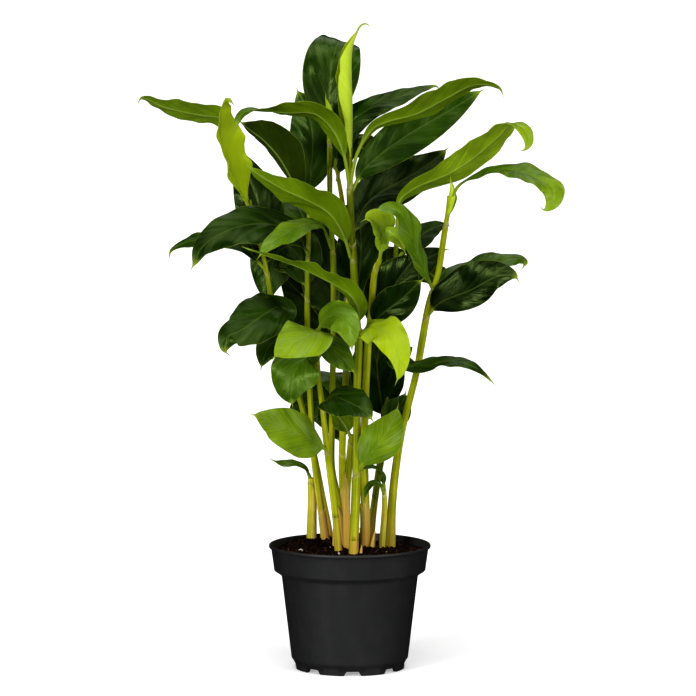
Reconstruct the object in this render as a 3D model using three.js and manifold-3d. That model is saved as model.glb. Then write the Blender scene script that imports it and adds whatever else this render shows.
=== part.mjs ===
// A cardamom plant in a black nursery pot: leafy shoots that stand in a bed of potting soil.
// Millimetres, +Z up, +X to the viewer's right and +Y away from the viewer. The origin is the
// centre of the pot's foot.
import * as THREE from "three";
import { mergeVertices } from "three/addons/utils/BufferGeometryUtils.js";
import Module from "manifold-3d";

const wasm = await Module();
wasm.setup();

// Driving dimensions of the pot.
const RIM_RADIUS = 65;
const RIM_DEPTH = 2.4;
const POT_HEIGHT = 100;
const COLLAR_TOP_RADIUS = 63.4;
const COLLAR_FOOT_RADIUS = 61;
const COLLAR_DEPTH = 20;
const LEDGE_DEPTH = 4.4;
const WALL_TOP_RADIUS = 55;
const WALL_FOOT_RADIUS = 47;
const LEDGE_CORNER = 1.5;
const RIM_SLOPE = 0.8;
const CHAMFER_TOP = 8.4;
const FOOT_FLARE = 0.6;
const FOOT_RADIUS = 44.4;
const WALL = 1.2;
const FLOOR_LIFT = 4;
const FOOT_RING = 3;
const POT_SIDES = 40;
const NOTCH_COUNT = 8;
const NOTCH_WIDTH = 11;
const NOTCH_HEIGHT = 3.6;
const NOTCH_TURN = THREE.MathUtils.degToRad(3);
const DRAIN_RADIUS = 4;
const DRAIN_RING = 32;

// The bed of soil, and the clearance that parts keep where they meet.
const CLEARANCE = 0.3;
const SOIL_LEVEL = POT_HEIGHT - 6;
const SOIL_SIDES = 30;
const SOIL_RINGS = 7;
const CRUMB = 0.9;
// Crumbs as two crossing waves, in radians a millimetre.
const CRUMB_WAVE = { x: 0.83, y: 0.79, bend: 1.3, slow: 0.41, skew: 0.17 };
const MOUND = { x: -26, y: 40, height: 7, spread: 24 };

// Leaf blades and stems.
const BLADE = 0.8;
const BELLY = 0.45;
const FULLNESS = 0.8;
const STALK_WIDTH = 3;
const STALK_LENGTH = 7;
const TAIL_WIDTH = 1.4;
const TAIL_LENGTH = 5;
const RIPPLE_LENGTH = 34;
const RIPPLE_SHIFT = 1.9;
const COLUMNS = [-1, -0.5, 0, 0.5, 1];
const BODY_STEP = 15;
const FEWEST_STEPS = 4;
const MOST_STEPS = 8;
const STEM_SIDES = 8;
const TRIM = 0.05;

// The shoots. A stem is a list of [x, y, z] points from inside the soil up, with its radius at the
// foot and at the top. A leaf's rib is its midrib, from the stem's middle to the drip tip. `wide`
// is the blade's full width, `face` the ways its upper side looks from base to tip, `fold` the
// angle in degrees by which each half rises from the midrib, `cup` the angle by which it bends on
// towards its margin, and `wave` the height of the ripples along the margin. Where a leaf differs
// from the rest, `stalk` is the length before its blade, `tail` the length after it, `belly` the
// share of the blade's length where it is widest, and `lean` the share by which one half is wider
// than the other.
const SHOOTS = {
  shoot_main: {
    stem: [[3, -14, 68], [3, -14, 94], [5, -11, 145], [5.5, -8, 185], [6, -6, 232], [7, -4, 266],
      [5, -2, 288], [3, 0, 328], [1, 0, 360], [0, 0, 388], [0, 0, 418]],
    radius: [3.6, 2.2],
    leaves: {
      spear: {
        rib: [[0, 0, 392], [1, 0, 420], [1.4, 0, 452], [0.8, 0, 482], [1.4, 0, 495],
          [4.6, -0.8, 507], [7.6, -1.5, 514], [11, -2, 516.6], [14.6, -3, 516],
          [15.8, -3.5, 512]],
        wide: 23, stalk: 6, tail: 16, belly: 0.62,
        face: [[-1, -0.3, 0], [-1, -0.35, 0], [-1, -0.2, -0.2]], fold: 10, cup: 140, wave: 0.4,
      },
      arch_left: {
        rib: [[0, 0, 385], [-5, -6, 414], [-14, -12, 434], [-28, -16, 446], [-48, -20, 447],
          [-66, -22, 448], [-80, -24, 448], [-88, -25, 442], [-90, -25, 431]],
        wide: 29, stalk: 26, belly: 0.5,
        face: [[0, 0.5, 0.8], [0, 0.45, 0.9], [0, 0.4, 0.9], [0, -0.7, 0.7]], fold: 20, cup: -16,
        wave: 0.8,
      },
      olive_left: {
        rib: [[1, -1, 330], [-6, -12, 352], [-17, -22, 368], [-33, -30, 378], [-52, -36, 387],
          [-70, -40, 398], [-83, -43, 408]],
        wide: 34, stalk: 16, face: [[0, 0.7, 0.7], [0, 0.6, 0.8], [0, 0.6, 0.8]], fold: 20,
        cup: -24, wave: 1.6,
      },
      bright_right: {
        rib: [[0, 0, 388], [6, -4, 414], [18, -10, 434], [30, -15, 440], [52, -22, 446],
          [73, -28, 457], [97, -34, 469], [110, -37, 469], [118, -38, 466], [121, -39, 459]],
        wide: 31, stalk: 28, belly: 0.62, face: [[0, 0.5, 0.8], [0, 0.5, 0.8], [0, 0.3, 0.9]],
        fold: 20, cup: -16, wave: 0.5,
      },
      dark_right: {
        rib: [[2, 0, 384], [10, 5, 399], [21, 7, 410], [37, 9, 422], [54, 11, 433], [80, 14, 448],
          [103, 16, 462], [109, 17, 465]],
        wide: 33, stalk: 9, belly: 0.45, face: [[0.2, -1, 0.3], [0.2, -1, 0.2]], fold: 12,
        cup: -18, wave: 0.8,
      },
      yellow: {
        rib: [[7, -5, 266], [13, -26, 277], [22, -48, 278], [31, -66, 274], [38, -77, 261],
          [39, -84, 248], [35, -89, 237]],
        wide: 30, face: [[0, -0.7, 0.7], [0.1, -1, 0.3], [0.2, -1, 0.1]], fold: 8, cup: -16,
        wave: 2,
      },
      edge_left: {
        rib: [[6, -4, 276], [7, -20, 290], [0, -34, 304], [-20, -46, 317], [-40, -54, 327],
          [-64, -60, 336], [-85, -64, 344]],
        wide: 26, face: [[0.3, 0.4, 0.8], [0, 0.2, 1], [0, 0.1, 1]], fold: 26, cup: -14,
        wave: 1.5,
      },
      round_low: {
        rib: [[5.5, -9, 160], [15, -14, 173], [26, -20, 188], [35, -24, 204], [39, -26, 217]],
        wide: 32, face: [[0.3, -1, 0.2], [0.2, -1, 0.1]], fold: 8, cup: -16, wave: 1.5,
      },
      dark_upper: {
        rib: [[1, 0, 345], [6, 10, 360], [15, 22, 374], [30, 34, 384], [47, 40, 393],
          [62, 43, 402], [76, 46, 413], [81, 48, 418]],
        wide: 38, belly: 0.5, face: [[0, -1, 0.4], [0, -1, 0.4]], fold: 8, cup: -16, wave: 1.5,
      },
    },
  },
  shoot_right_tall: {
    stem: [[33, 26, 68], [33, 26, 94], [34, 25, 126], [37, 22, 158], [42, 18, 190], [48, 12, 215],
      [54, 7, 240], [58, 4, 264], [63, 1, 292], [67, 0, 306], [71, 0, 320], [74.5, -1, 344],
      [78.4, -3, 371], [79, -4, 380]],
    radius: [3.8, 1.7],
    leaves: {
      top_right: {
        rib: [[77, -2, 358], [81, -5, 377], [87, -9, 389], [104, -15, 398], [122, -20, 402],
          [138, -26, 399], [152, -32, 393], [160, -36, 386], [159, -39, 376], [153, -40, 371],
          [149, -40, 375]],
        wide: 27, stalk: 28, belly: 0.6, face: [[-0.3, -0.3, 1], [0, -0.35, 1], [0.4, -0.8, 0.8]],
        fold: 18, cup: -26, wave: 1.6,
      },
      big_right: {
        rib: [[62, 1, 284], [72, -7, 295], [96, -18, 306], [116, -26, 317], [130, -31, 318],
          [135, -33, 312]],
        wide: 36, lean: -0.2, face: [[0, -1, 0.4], [0, -1, 0.3]], fold: 8, cup: -18, wave: 1.2,
      },
      behind_right: {
        rib: [[67, 0, 306], [80, 9, 314], [100, 16, 320], [124, 20, 327], [136, 22, 328],
          [141, 22, 325], [137, 21, 318]],
        wide: 28, face: [[0, -0.6, 0.8], [0, -0.6, 0.8]], fold: 10, cup: -26, wave: 2,
      },
      bright_left: {
        rib: [[67, 0, 304], [62, -14, 315], [53, -30, 337], [46, -40, 357], [38, -46, 370],
          [27, -51, 373], [17, -54, 369]],
        wide: 26, belly: 0.6, face: [[0.6, -0.7, 0.3], [0.5, -0.7, 0.5], [0, -0.6, 0.8]],
        fold: 12, cup: -20, wave: 1.5,
      },
      new_tip: {
        rib: [[76.5, -2, 360], [78.2, -3, 370], [79.4, -4, 380], [80.4, -5, 389], [80, -6, 397]],
        wide: 11, stalk: 2, belly: 0.5, face: [[1, -0.3, 0], [1, -0.3, 0]], fold: 12, cup: 130,
        wave: 0,
      },
    },
  },
  shoot_centre_right: {
    stem: [[13, 24, 68], [13, 24, 94], [12.5, 20, 126], [11.5, 12, 168], [12.5, 6, 216],
      [15, 0, 268], [17, -6, 290], [20, -14, 320], [24, -20, 331]],
    radius: [4, 2],
    leaves: {
      young: {
        rib: [[23, -18, 328], [26, -24, 346], [22, -30, 358], [15, -34, 364], [8, -36, 361]],
        wide: 28, stalk: 14, belly: 0.6,
        face: [[0.6, -0.8, 0.2], [0.3, -0.7, 0.6], [-0.2, -0.7, 0.7]], fold: 30, cup: -10,
        wave: 2,
      },
      grey: {
        rib: [[15, -1, 275], [26, -12, 287], [41, -19, 299], [54, -25, 312], [60, -28, 317]],
        wide: 29, face: [[0.3, -1, 0.3], [0.3, -1, 0.2]], fold: 8, cup: -16, wave: 1.5,
      },
      young_flap: {
        rib: [[23.5, -19, 330], [27, -26, 346], [34, -31, 350], [41, -34, 343], [45, -35, 334]],
        wide: 16, face: [[0, -0.8, 0.6], [0.3, -0.9, 0.5]], fold: 14, cup: -10, wave: 1,
      },
    },
  },
  shoot_front_left: {
    stem: [[-9, -8, 68], [-9, -8, 94], [-13, -10, 137], [-15, -11, 153], [-19, -12, 185],
      [-21.5, -13, 209], [-25, -13, 237], [-26, -14, 257], [-26, -14, 275]],
    radius: [3.1, 1.2],
    leaves: {
      big_low: {
        rib: [[-18, -12, 177], [-26, -24, 184], [-36, -38, 191], [-50, -52, 199], [-64, -64, 207],
          [-74, -71, 212], [-79, -74, 213]],
        wide: 37, face: [[0, -1, 0.5], [0, -1, 0.35]], fold: 8, cup: -16, wave: 1.5,
      },
      wide_dark: {
        rib: [[-21.5, -13, 210], [-16, -30, 222], [-3, -50, 221], [12, -64, 214], [20, -70, 205]],
        wide: 36, face: [[0, -0.7, 0.7], [0.1, -0.9, 0.6]], fold: 8, cup: -20, wave: 1.5,
      },
      light_left: {
        rib: [[-26, -14, 268], [-27, -30, 275], [-34, -44, 272], [-47, -53, 265], [-58, -58, 258],
          [-62, -59, 253]],
        wide: 40, face: [[0, -0.7, 0.7], [-0.1, -1, 0.5]], fold: 8, cup: -16, wave: 1.5,
      },
      bright_front: {
        rib: [[-26, -14, 272], [-19, -26, 284], [-9, -38, 287], [-2, -45, 280], [1, -49, 268],
          [2, -51, 258]],
        wide: 26, face: [[-0.2, -0.8, 0.6], [0, -1, 0.3], [0.1, -1, 0.1]], fold: 8, cup: -16,
        wave: 1.5,
      },
      mid_left: {
        rib: [[-25, -13, 240], [-34, -19, 252], [-42, -23, 244], [-47, -25, 228],
          [-45, -26, 211]],
        wide: 42, face: [[-0.3, -0.7, 0.6], [-0.3, -1, 0.2]], fold: 8, cup: -16, wave: 1.5,
      },
      small_front: {
        rib: [[-25, -14, 252], [-17, -24, 262], [-8, -31, 254], [2, -35, 244], [5, -36, 238]],
        wide: 23, face: [[0, -0.7, 0.7], [0, -0.9, 0.5]], fold: 8, cup: -10, wave: 1,
      },
    },
  },
  shoot_upright: {
    stem: [[-6, 20, 68], [-6, 20, 94], [-10, 18, 135], [-14.5, 14, 160], [-14.5, 14, 192],
      [-13.5, 14, 255], [-13, 18, 318], [-14.5, 22, 350], [-16, 26, 380], [-16, 28, 430]],
    radius: [3, 1.7],
    leaves: {
      tall_dark: {
        rib: [[-17, 28, 420], [-17, 28, 440], [-17, 29, 460], [-15, 31, 478], [-12, 37, 494],
          [-8, 49, 502], [-3, 62, 498], [0, 71, 488]],
        wide: 46, belly: 0.5, face: [[0, -1, 0.1], [0, -1, 0.3], [0, -0.2, 1]], fold: 8, cup: -14,
        wave: 0.8,
      },
      bright_mid: {
        rib: [[-14, 20, 335], [-23, 6, 356], [-35, -12, 358], [-48, -25, 353], [-64, -34, 343],
          [-74, -39, 331]],
        wide: 20, belly: 0.6, face: [[0, -0.6, 0.8], [0, -0.8, 0.6]], fold: 10, cup: -18,
        wave: 1.2,
      },
      upright_tip: {
        rib: [[-16, 28, 420], [-17, 24, 436], [-18.6, 21, 450], [-19.5, 19, 462]],
        wide: 9, stalk: 2, belly: 0.72, face: [[1, -0.3, 0], [1, -0.3, 0]], fold: 12, cup: 130,
        wave: 0,
      },
    },
  },
  shoot_left_inner: {
    stem: [[-20, 32, 68], [-20, 32, 98], [-25, 28, 135], [-29, 24, 168], [-32, 22, 215],
      [-34, 22, 262], [-34, 24, 318], [-33, 28, 345], [-33, 32, 380]],
    radius: [3.2, 1.2],
    leaves: {
      high_dark: {
        rib: [[-33, 32, 376], [-31, 41, 400], [-30, 50, 424], [-35, 58, 445], [-41, 64, 459],
          [-44, 68, 465]],
        wide: 40, face: [[-0.1, -1, 0.3], [-0.2, -1, 0.3]], fold: 8, cup: -14, wave: 1,
      },
      olive_high: {
        rib: [[-33, 30, 366], [-42, 24, 382], [-48, 19, 395], [-56, 16, 409], [-68, 13, 423],
          [-82, 11, 434], [-90, 10, 441]],
        wide: 29, belly: 0.62, lean: -0.62, face: [[0.2, 0.8, 0.5], [0.2, 0.7, 0.6]], fold: 14,
        cup: -14, wave: 1,
      },
      big_left: {
        rib: [[-33, 25, 330], [-42, 8, 348], [-62, -4, 357], [-84, -12, 357], [-104, -18, 350],
          [-118, -22, 339], [-123, -24, 328], [-127, -25, 321]],
        wide: 36, face: [[0, -0.6, 0.8], [0, -0.8, 0.6], [-0.3, -0.9, 0.4]], fold: 10, cup: -22,
        wave: 1.2,
      },
      dark_side: {
        rib: [[-34, 23, 300], [-40, 31, 327], [-50, 36, 337], [-60, 37, 328], [-66, 36, 308],
          [-66, 34, 288]],
        wide: 45, face: [[0, -0.9, 0.5], [-0.2, -1, 0.3]], fold: 8, cup: -16, wave: 1.8,
      },
      away_left: {
        rib: [[-33, 28, 343], [-41, 48, 366], [-54, 66, 372], [-70, 76, 362], [-80, 83, 344]],
        wide: 38, face: [[0, -0.4, 0.9], [-0.2, 0.6, 0.9], [-0.2, 1, 0.3]], fold: 10, cup: -18,
        wave: 2,
      },
    },
  },
  shoot_left_outer: {
    stem: [[-17, 46, 68], [-17, 46, 100], [-23, 42, 136], [-30, 38, 172], [-40, 34, 212],
      [-52, 26, 256], [-62, 18, 292], [-68, 16, 325], [-76, 15, 355], [-80, 13, 376]],
    radius: [3, 1.2],
    leaves: {
      light_upright: {
        rib: [[-80, 13, 368], [-88, 6, 387], [-95, 0, 402], [-101, -4, 417], [-103, -7, 436],
          [-101, -9, 450], [-96, -11, 456], [-90, -13, 451]],
        wide: 38, belly: 0.5, face: [[0.8, -0.6, 0], [0.8, -0.6, 0], [0.8, -0.6, 0.2]], fold: 42,
        cup: -10, wave: 3,
      },
      far_left: {
        rib: [[-79, 13, 362], [-88, 18, 402], [-94, 18, 430], [-103, 16, 441], [-120, 14, 444],
          [-140, 14, 448], [-153, 14, 452], [-162, 14, 457], [-167, 14, 457], [-170, 14, 451]],
        wide: 25, stalk: 60, belly: 0.5, face: [[0.5, 0.8, 0.3], [0, 0.7, 0.7], [0, 0.5, 0.8]],
        fold: 16, cup: -16, wave: 1.2,
      },
      dark_behind: {
        rib: [[-68, 16, 318], [-68, 27, 345], [-72, 37, 364], [-79, 44, 385], [-87, 50, 404],
          [-93, 54, 420]],
        wide: 38, face: [[0, -1, 0.2], [0, -1, 0.3]], fold: 8, cup: -14, wave: 1.5,
      },
      low_tip: {
        rib: [[-68, 16, 320], [-88, 22, 340], [-108, 26, 344], [-122, 28, 343], [-134, 30, 340],
          [-144, 31, 334], [-146, 31, 326]],
        wide: 19, face: [[0, -0.5, 0.8], [0, -0.6, 0.8]], fold: 10, cup: -20, wave: 1.5,
      },
      glossy_low: {
        rib: [[-55, 24, 268], [-56, 4, 290], [-64, -10, 289], [-76, -20, 281], [-88, -26, 274],
          [-96, -28, 270], [-99, -29, 259], [-94, -30, 254]],
        wide: 42, face: [[0, -0.6, 0.8], [0, -1, 0.6], [-0.2, -1, 0.4]], fold: 8, cup: -20,
        wave: 2,
      },
      hanging: {
        rib: [[-50, 27, 250], [-60, 16, 262], [-68, 8, 252], [-72, 4, 238]],
        wide: 22, face: [[-0.2, -0.8, 0.6], [-0.3, -1, 0.2]], fold: 8, cup: -12, wave: 1,
      },
      away_outer: {
        rib: [[-50, 27, 248], [-58, 42, 264], [-61, 56, 267], [-58, 70, 256], [-54, 79, 236]],
        wide: 33, face: [[0, -0.4, 0.9], [0.1, 0.6, 0.9], [0.2, 1, 0.3]], fold: 10, cup: -18,
        wave: 2,
      },
    },
  },
  shoot_back_right: {
    stem: [[17, 44, 68], [17, 44, 98], [22, 38, 143], [26, 32, 170], [30, 26, 214], [34, 22, 262],
      [36, 20, 295], [37, 16, 330], [38, 10, 362]],
    radius: [3.1, 1.3],
    leaves: {
      bright_high: {
        rib: [[38, 10, 354], [40, 8, 376], [52, 8, 386], [78, 8, 397], [98, 2, 410],
          [117, -8, 427], [128, -16, 438], [137, -23, 434], [141, -28, 424], [138, -30, 418],
          [132, -31, 418]],
        wide: 32, stalk: 16, belly: 0.5, face: [[0, 0.7, 0.7], [0, 0.6, 0.8], [0.3, -0.7, 0.7]],
        fold: 16, cup: -20, wave: 0.5,
      },
      small_dark: {
        rib: [[37, 16, 328], [54, 22, 344], [66, 26, 352], [74, 27, 355], [79, 28, 355],
          [82, 28, 352]],
        wide: 22, face: [[0, -0.8, 0.6], [0, -0.7, 0.7]], fold: 8, cup: -16, wave: 1,
      },
      lower_dark: {
        rib: [[36, 19, 305], [54, 34, 322], [68, 40, 330], [77, 42, 334], [82, 43, 334]],
        wide: 26, face: [[0, -0.9, 0.5], [0, -0.8, 0.6]], fold: 8, cup: -16, wave: 1,
      },
      very_dark: {
        rib: [[34, 22, 262], [30, 14, 284], [34, 10, 304], [44, 8, 320], [58, 8, 336]],
        wide: 44, face: [[0, -1, 0.2], [0, -1, 0.2]], fold: 6, cup: -12, wave: 1.5,
      },
      away_right: {
        rib: [[35, 21, 288], [46, 36, 312], [58, 52, 318], [70, 66, 309], [78, 76, 290]],
        wide: 34, face: [[0, -0.4, 0.9], [0.2, 0.6, 0.9], [0.2, 1, 0.3]], fold: 10, cup: -18,
        wave: 2,
      },
      narrow_dark: {
        rib: [[28, 29, 186], [35, 22, 200], [42, 20, 212], [46, 19, 224]],
        wide: 24, face: [[0.2, -1, 0.2], [0.2, -1, 0.2]], fold: 8, cup: -10, wave: 1,
      },
      low_dark: {
        rib: [[28, 29, 195], [24, 22, 222], [22, 17, 246], [27, 14, 266], [36, 12, 280]],
        wide: 44, face: [[0, -1, 0.2], [0, -1, 0.2]], fold: 6, cup: -12, wave: 1.5,
      },
      narrow_right: {
        rib: [[33, 22, 243], [37, 9, 248], [45, -6, 244], [60, -14, 245], [76, -20, 249],
          [92, -26, 248], [104, -29, 242], [116, -32, 231]],
        wide: 23, stalk: 3, belly: 0.36, face: [[0, -0.4, 0.9], [0, -0.4, 0.9]], fold: 14,
        cup: -20, wave: 0.8,
      },
      away_low_right: {
        rib: [[31, 26, 225], [34, 42, 248], [31, 58, 255], [25, 72, 246], [21, 82, 226]],
        wide: 36, face: [[0, -0.4, 0.9], [-0.1, 0.6, 0.9], [-0.2, 1, 0.3]], fold: 10, cup: -18,
        wave: 2,
      },
    },
  },
  shoot_back: {
    stem: [[-4, 46, 68], [-4, 46, 98], [-6, 42, 150], [-6, 38, 176], [-3, 38, 240], [-1, 40, 300],
      [-3, 40, 350], [-8, 39, 385], [-12, 38, 404]],
    radius: [3, 1.2],
    leaves: {
      dark_top_right: {
        rib: [[-12, 38, 400], [-9, 36, 418], [2, 35, 438], [20, 34, 450], [44, 36, 459],
          [62, 38, 465], [70, 38, 466], [73, 38, 461]],
        wide: 25, belly: 0.36, face: [[0, -0.8, 0.6], [0, -0.6, 0.8]], fold: 8, cup: -18,
        wave: 0.8,
      },
      away_high: {
        rib: [[-10, 39, 390], [-6, 54, 416], [2, 70, 424], [12, 84, 412], [17, 91, 394]],
        wide: 32, face: [[0, -0.4, 0.9], [0.1, 0.6, 0.9], [0.1, 1, 0.3]], fold: 10, cup: -18,
        wave: 2,
      },
      away_middle: {
        rib: [[-1, 40, 300], [10, 56, 324], [22, 70, 330], [34, 81, 318], [41, 87, 296]],
        wide: 42, face: [[0, -0.4, 0.9], [0.2, 0.6, 0.9], [0.2, 1, 0.3]], fold: 10, cup: -18,
        wave: 2,
      },
      low_left: {
        rib: [[-3, 38, 240], [-18, 47, 268], [-34, 54, 290], [-50, 60, 306], [-61, 64, 314]],
        wide: 42, face: [[0, -1, 0.3], [0, -1, 0.4]], fold: 6, cup: -14, wave: 1.5,
      },
      low_back: {
        rib: [[-6, 38, 172], [-12, 44, 196], [-22, 47, 209], [-34, 46, 208], [-46, 43, 199],
          [-51, 42, 190]],
        wide: 32, face: [[0, -0.9, 0.5], [-0.1, -1, 0.3]], fold: 8, cup: -16, wave: 1.5,
      },
      dark_left: {
        rib: [[-2, 39, 262], [-12, 46, 292], [-20, 50, 318], [-26, 52, 344], [-30, 54, 364]],
        wide: 44, face: [[0, -1, 0.3], [0, -1, 0.3]], fold: 6, cup: -14, wave: 1.5,
      },
      dark_centre: {
        rib: [[-1, 40, 285], [6, 35, 306], [9, 32, 332], [8, 31, 358], [3, 33, 380]],
        wide: 42, face: [[0, -1, 0.1], [0, -1, 0.1]], fold: 6, cup: -14, wave: 1.5,
      },
      away_upper: {
        rib: [[-3, 40, 350], [-6, 56, 366], [-14, 72, 366], [-24, 84, 352], [-30, 90, 330]],
        wide: 35, face: [[0, -0.4, 0.9], [-0.2, 0.6, 0.9], [-0.2, 1, 0.3]], fold: 10, cup: -18,
        wave: 2,
      },
      away_foot: {
        rib: [[-5, 38, 205], [-8, 54, 226], [-13, 68, 231], [-20, 79, 219], [-24, 85, 198]],
        wide: 36, face: [[0, -0.4, 0.9], [-0.2, 0.6, 0.9], [-0.2, 1, 0.3]], fold: 10, cup: -18,
        wave: 2,
      },
    },
  },
  shoot_low_centre: {
    stem: [[-2, 12, 68], [-2, 12, 94], [-2, 8, 143], [1, 4, 180], [1.5, 3, 188]],
    radius: [2.8, 2.4],
    leaves: {
      olive_low: {
        rib: [[1.5, 3, 184], [-4, 2, 196], [-10, 2, 203], [-19, 1, 209]],
        wide: 20, face: [[0, 0.8, 0.5], [0, 0.7, 0.6]], fold: 14, cup: -12, wave: 1,
      },
    },
  },
  shoot_short_left: {
    stem: [[-31, 36, 68], [-31, 36, 100], [-30.5, 35, 134], [-31, 34, 149]],
    radius: [4, 3],
    leaves: {
      small_olive: {
        rib: [[-31, 34, 146], [-36, 30, 157], [-45, 26, 161], [-55, 23, 162], [-66, 20, 167]],
        wide: 13, face: [[0, -0.5, 0.9], [0, -0.3, 0.9]], fold: 14, cup: -10, wave: 0.8,
      },
    },
  },
  shoot_short_right: {
    stem: [[26, 14, 68], [26, 14, 94], [28, 14, 126], [28, 13, 142]],
    radius: [2.4, 1.6],
    leaves: {
      curled: {
        rib: [[28, 13, 140], [26, 10, 154], [20, 6, 161], [12, 3, 161], [7, 2, 156]],
        wide: 9, face: [[0, -0.5, 0.8], [0, -0.4, 0.9]], fold: 14, cup: -10, wave: 0.5,
      },
      drooping: {
        rib: [[28, 13, 138], [24, 9, 147], [18, 6, 148], [13, 5, 142], [12, 4, 131]],
        wide: 7, face: [[0, -0.5, 0.8], [-0.4, -0.8, 0.2]], fold: 14, cup: -10, wave: 0.5,
      },
    },
  },
};

const SKIN = {
  pot: { color: 0x1b1c1e, roughness: 0.45, metalness: 0 },
  soil: { color: 0x2e211a, roughness: 0.95, metalness: 0 },
  shoot: { color: 0x3f7a1f, roughness: 0.4, metalness: 0 },
};

const toVector = (point) => new THREE.Vector3(...point);

// A closed geometry as a solid that can be joined and cut.
function solidOf(geometry) {
  const bare = geometry.clone();
  bare.deleteAttribute("normal");
  bare.deleteAttribute("uv");
  const merged = mergeVertices(bare, 1e-4);
  return new wasm.Manifold(new wasm.Mesh({
    numProp: 3,
    vertProperties: new Float32Array(merged.attributes.position.array),
    triVerts: new Uint32Array(merged.index.array),
  }));
}

// A solid as a named mesh with its own material.
function meshOf(name, solid, skin) {
  const result = solid.getMesh();
  const geometry = new THREE.BufferGeometry();
  geometry.setAttribute("position", new THREE.BufferAttribute(result.vertProperties, 3));
  geometry.setIndex(new THREE.BufferAttribute(result.triVerts, 1));
  geometry.computeVertexNormals();
  const mesh = new THREE.Mesh(geometry, new THREE.MeshStandardMaterial(skin));
  mesh.name = name;
  return mesh;
}

// The largest body of a solid: a scrap that a cut leaves loose is dropped.
function mainBody(solid) {
  const bodies = solid.decompose();
  return bodies.reduce((best, body) => (body.volume() > best.volume() ? body : best));
}

// A closed geometry from its points and triangles.
function closedGeometry(points, triangles) {
  const geometry = new THREE.BufferGeometry();
  geometry.setAttribute("position", new THREE.Float32BufferAttribute(points.flat(), 3));
  geometry.setIndex(triangles.flat());
  return geometry;
}

// The triangles of a tube's wall and of its two flat ends, ring after ring.
function tubeTriangles(steps) {
  const triangles = [];
  for (let i = 0; i < steps; i += 1) {
    for (let j = 0; j < STEM_SIDES; j += 1) {
      const a = i * STEM_SIDES + j;
      const b = i * STEM_SIDES + ((j + 1) % STEM_SIDES);
      triangles.push([a, b, b + STEM_SIDES], [a, b + STEM_SIDES, a + STEM_SIDES]);
    }
  }
  const last = steps * STEM_SIDES;
  for (let j = 1; j < STEM_SIDES - 1; j += 1) {
    triangles.push([0, j + 1, j], [last, last + j, last + j + 1]);
  }
  return triangles;
}

// A round tube with closed ends along a smooth line. Its radius runs from the first to the second
// of `radius`, and `extra` is added all round.
function tube(line, radius, steps, extra = 0) {
  const points = [];
  const across = new THREE.Vector3(1, 0, 0);
  for (let i = 0; i <= steps; i += 1) {
    const t = i / steps;
    const centre = line.getPointAt(t);
    const along = line.getTangentAt(t);
    const side = across.clone().addScaledVector(along, -across.dot(along)).normalize();
    const front = along.clone().cross(side);
    const size = THREE.MathUtils.lerp(radius[0], radius[1], t) + extra;
    for (let j = 0; j < STEM_SIDES; j += 1) {
      const turn = (2 * Math.PI * j) / STEM_SIDES;
      const point = centre.clone().addScaledVector(side, size * Math.cos(turn));
      points.push(point.addScaledVector(front, size * Math.sin(turn)).toArray());
    }
  }
  return closedGeometry(points, tubeTriangles(steps));
}

// How full a blade is at a share of its length: nothing at both ends, and 1 where it is widest.
function fullness(share, belly) {
  if (share <= 0 || share >= 1) {
    return 0;
  }
  return Math.sin(Math.PI * share ** (Math.log(0.5) / Math.log(belly))) ** FULLNESS;
}

// The way a blade's upper side looks at share t of its length.
function facing(face, t) {
  const place = t * (face.length - 1);
  const index = Math.min(Math.floor(place), face.length - 2);
  return toVector(face[index]).lerp(toVector(face[index + 1]), place - index);
}

// Half the blade's thickness square to the sheet, which rises by `tilt` on one side of the midrib.
// On the midrib itself the two sides meet in a mitre.
function skinOffset(normal, side, sign, tilt) {
  if (sign === 0) {
    return normal.clone().multiplyScalar(BLADE / 2 / Math.cos(tilt));
  }
  const out = normal.clone().multiplyScalar(Math.cos(tilt));
  return out.addScaledVector(side, -sign * Math.sin(tilt)).multiplyScalar(BLADE / 2);
}

// Where along a midrib a blade has its rows of points, as shares of the midrib's length.
function rowStops(length, { stalk = STALK_LENGTH, tail = TAIL_LENGTH }) {
  const body = length - stalk - tail;
  const steps = THREE.MathUtils.clamp(Math.round(body / BODY_STEP), FEWEST_STEPS, MOST_STEPS);
  const stops = [0];
  for (let i = 0; i <= steps; i += 1) {
    stops.push((stalk + (body * i) / steps) / length);
  }
  const tailSteps = Math.round(tail / TAIL_LENGTH);
  for (let i = 1; i <= tailSteps; i += 1) {
    stops.push((stalk + body + (tail * i) / tailSteps) / length);
  }
  return stops;
}

// The triangles of a thin sheet whose lower points follow all its upper ones. Both faces are split
// alike, and the margin and the ends are closed by narrow strips.
function sheetTriangles(rows, columns) {
  const under = (rows + 1) * columns;
  const triangles = [];
  const quad = (a, b, c, d) => triangles.push([a, b, c], [a, c, d]);
  for (let i = 0; i < rows; i += 1) {
    for (let j = 0; j < columns - 1; j += 1) {
      const a = i * columns + j;
      quad(a, a + 1, a + 1 + columns, a + columns);
      triangles.push([under + a, under + a + 1 + columns, under + a + 1]);
      triangles.push([under + a, under + a + columns, under + a + 1 + columns]);
    }
    const left = i * columns;
    const right = left + columns - 1;
    quad(left, left + columns, under + left + columns, under + left);
    quad(right, under + right, under + right + columns, right + columns);
  }
  for (let j = 0; j < columns - 1; j += 1) {
    const tip = rows * columns + j;
    quad(j + 1, j, under + j, under + j + 1);
    quad(tip, tip + 1, under + tip + 1, under + tip);
  }
  return triangles;
}

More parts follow.
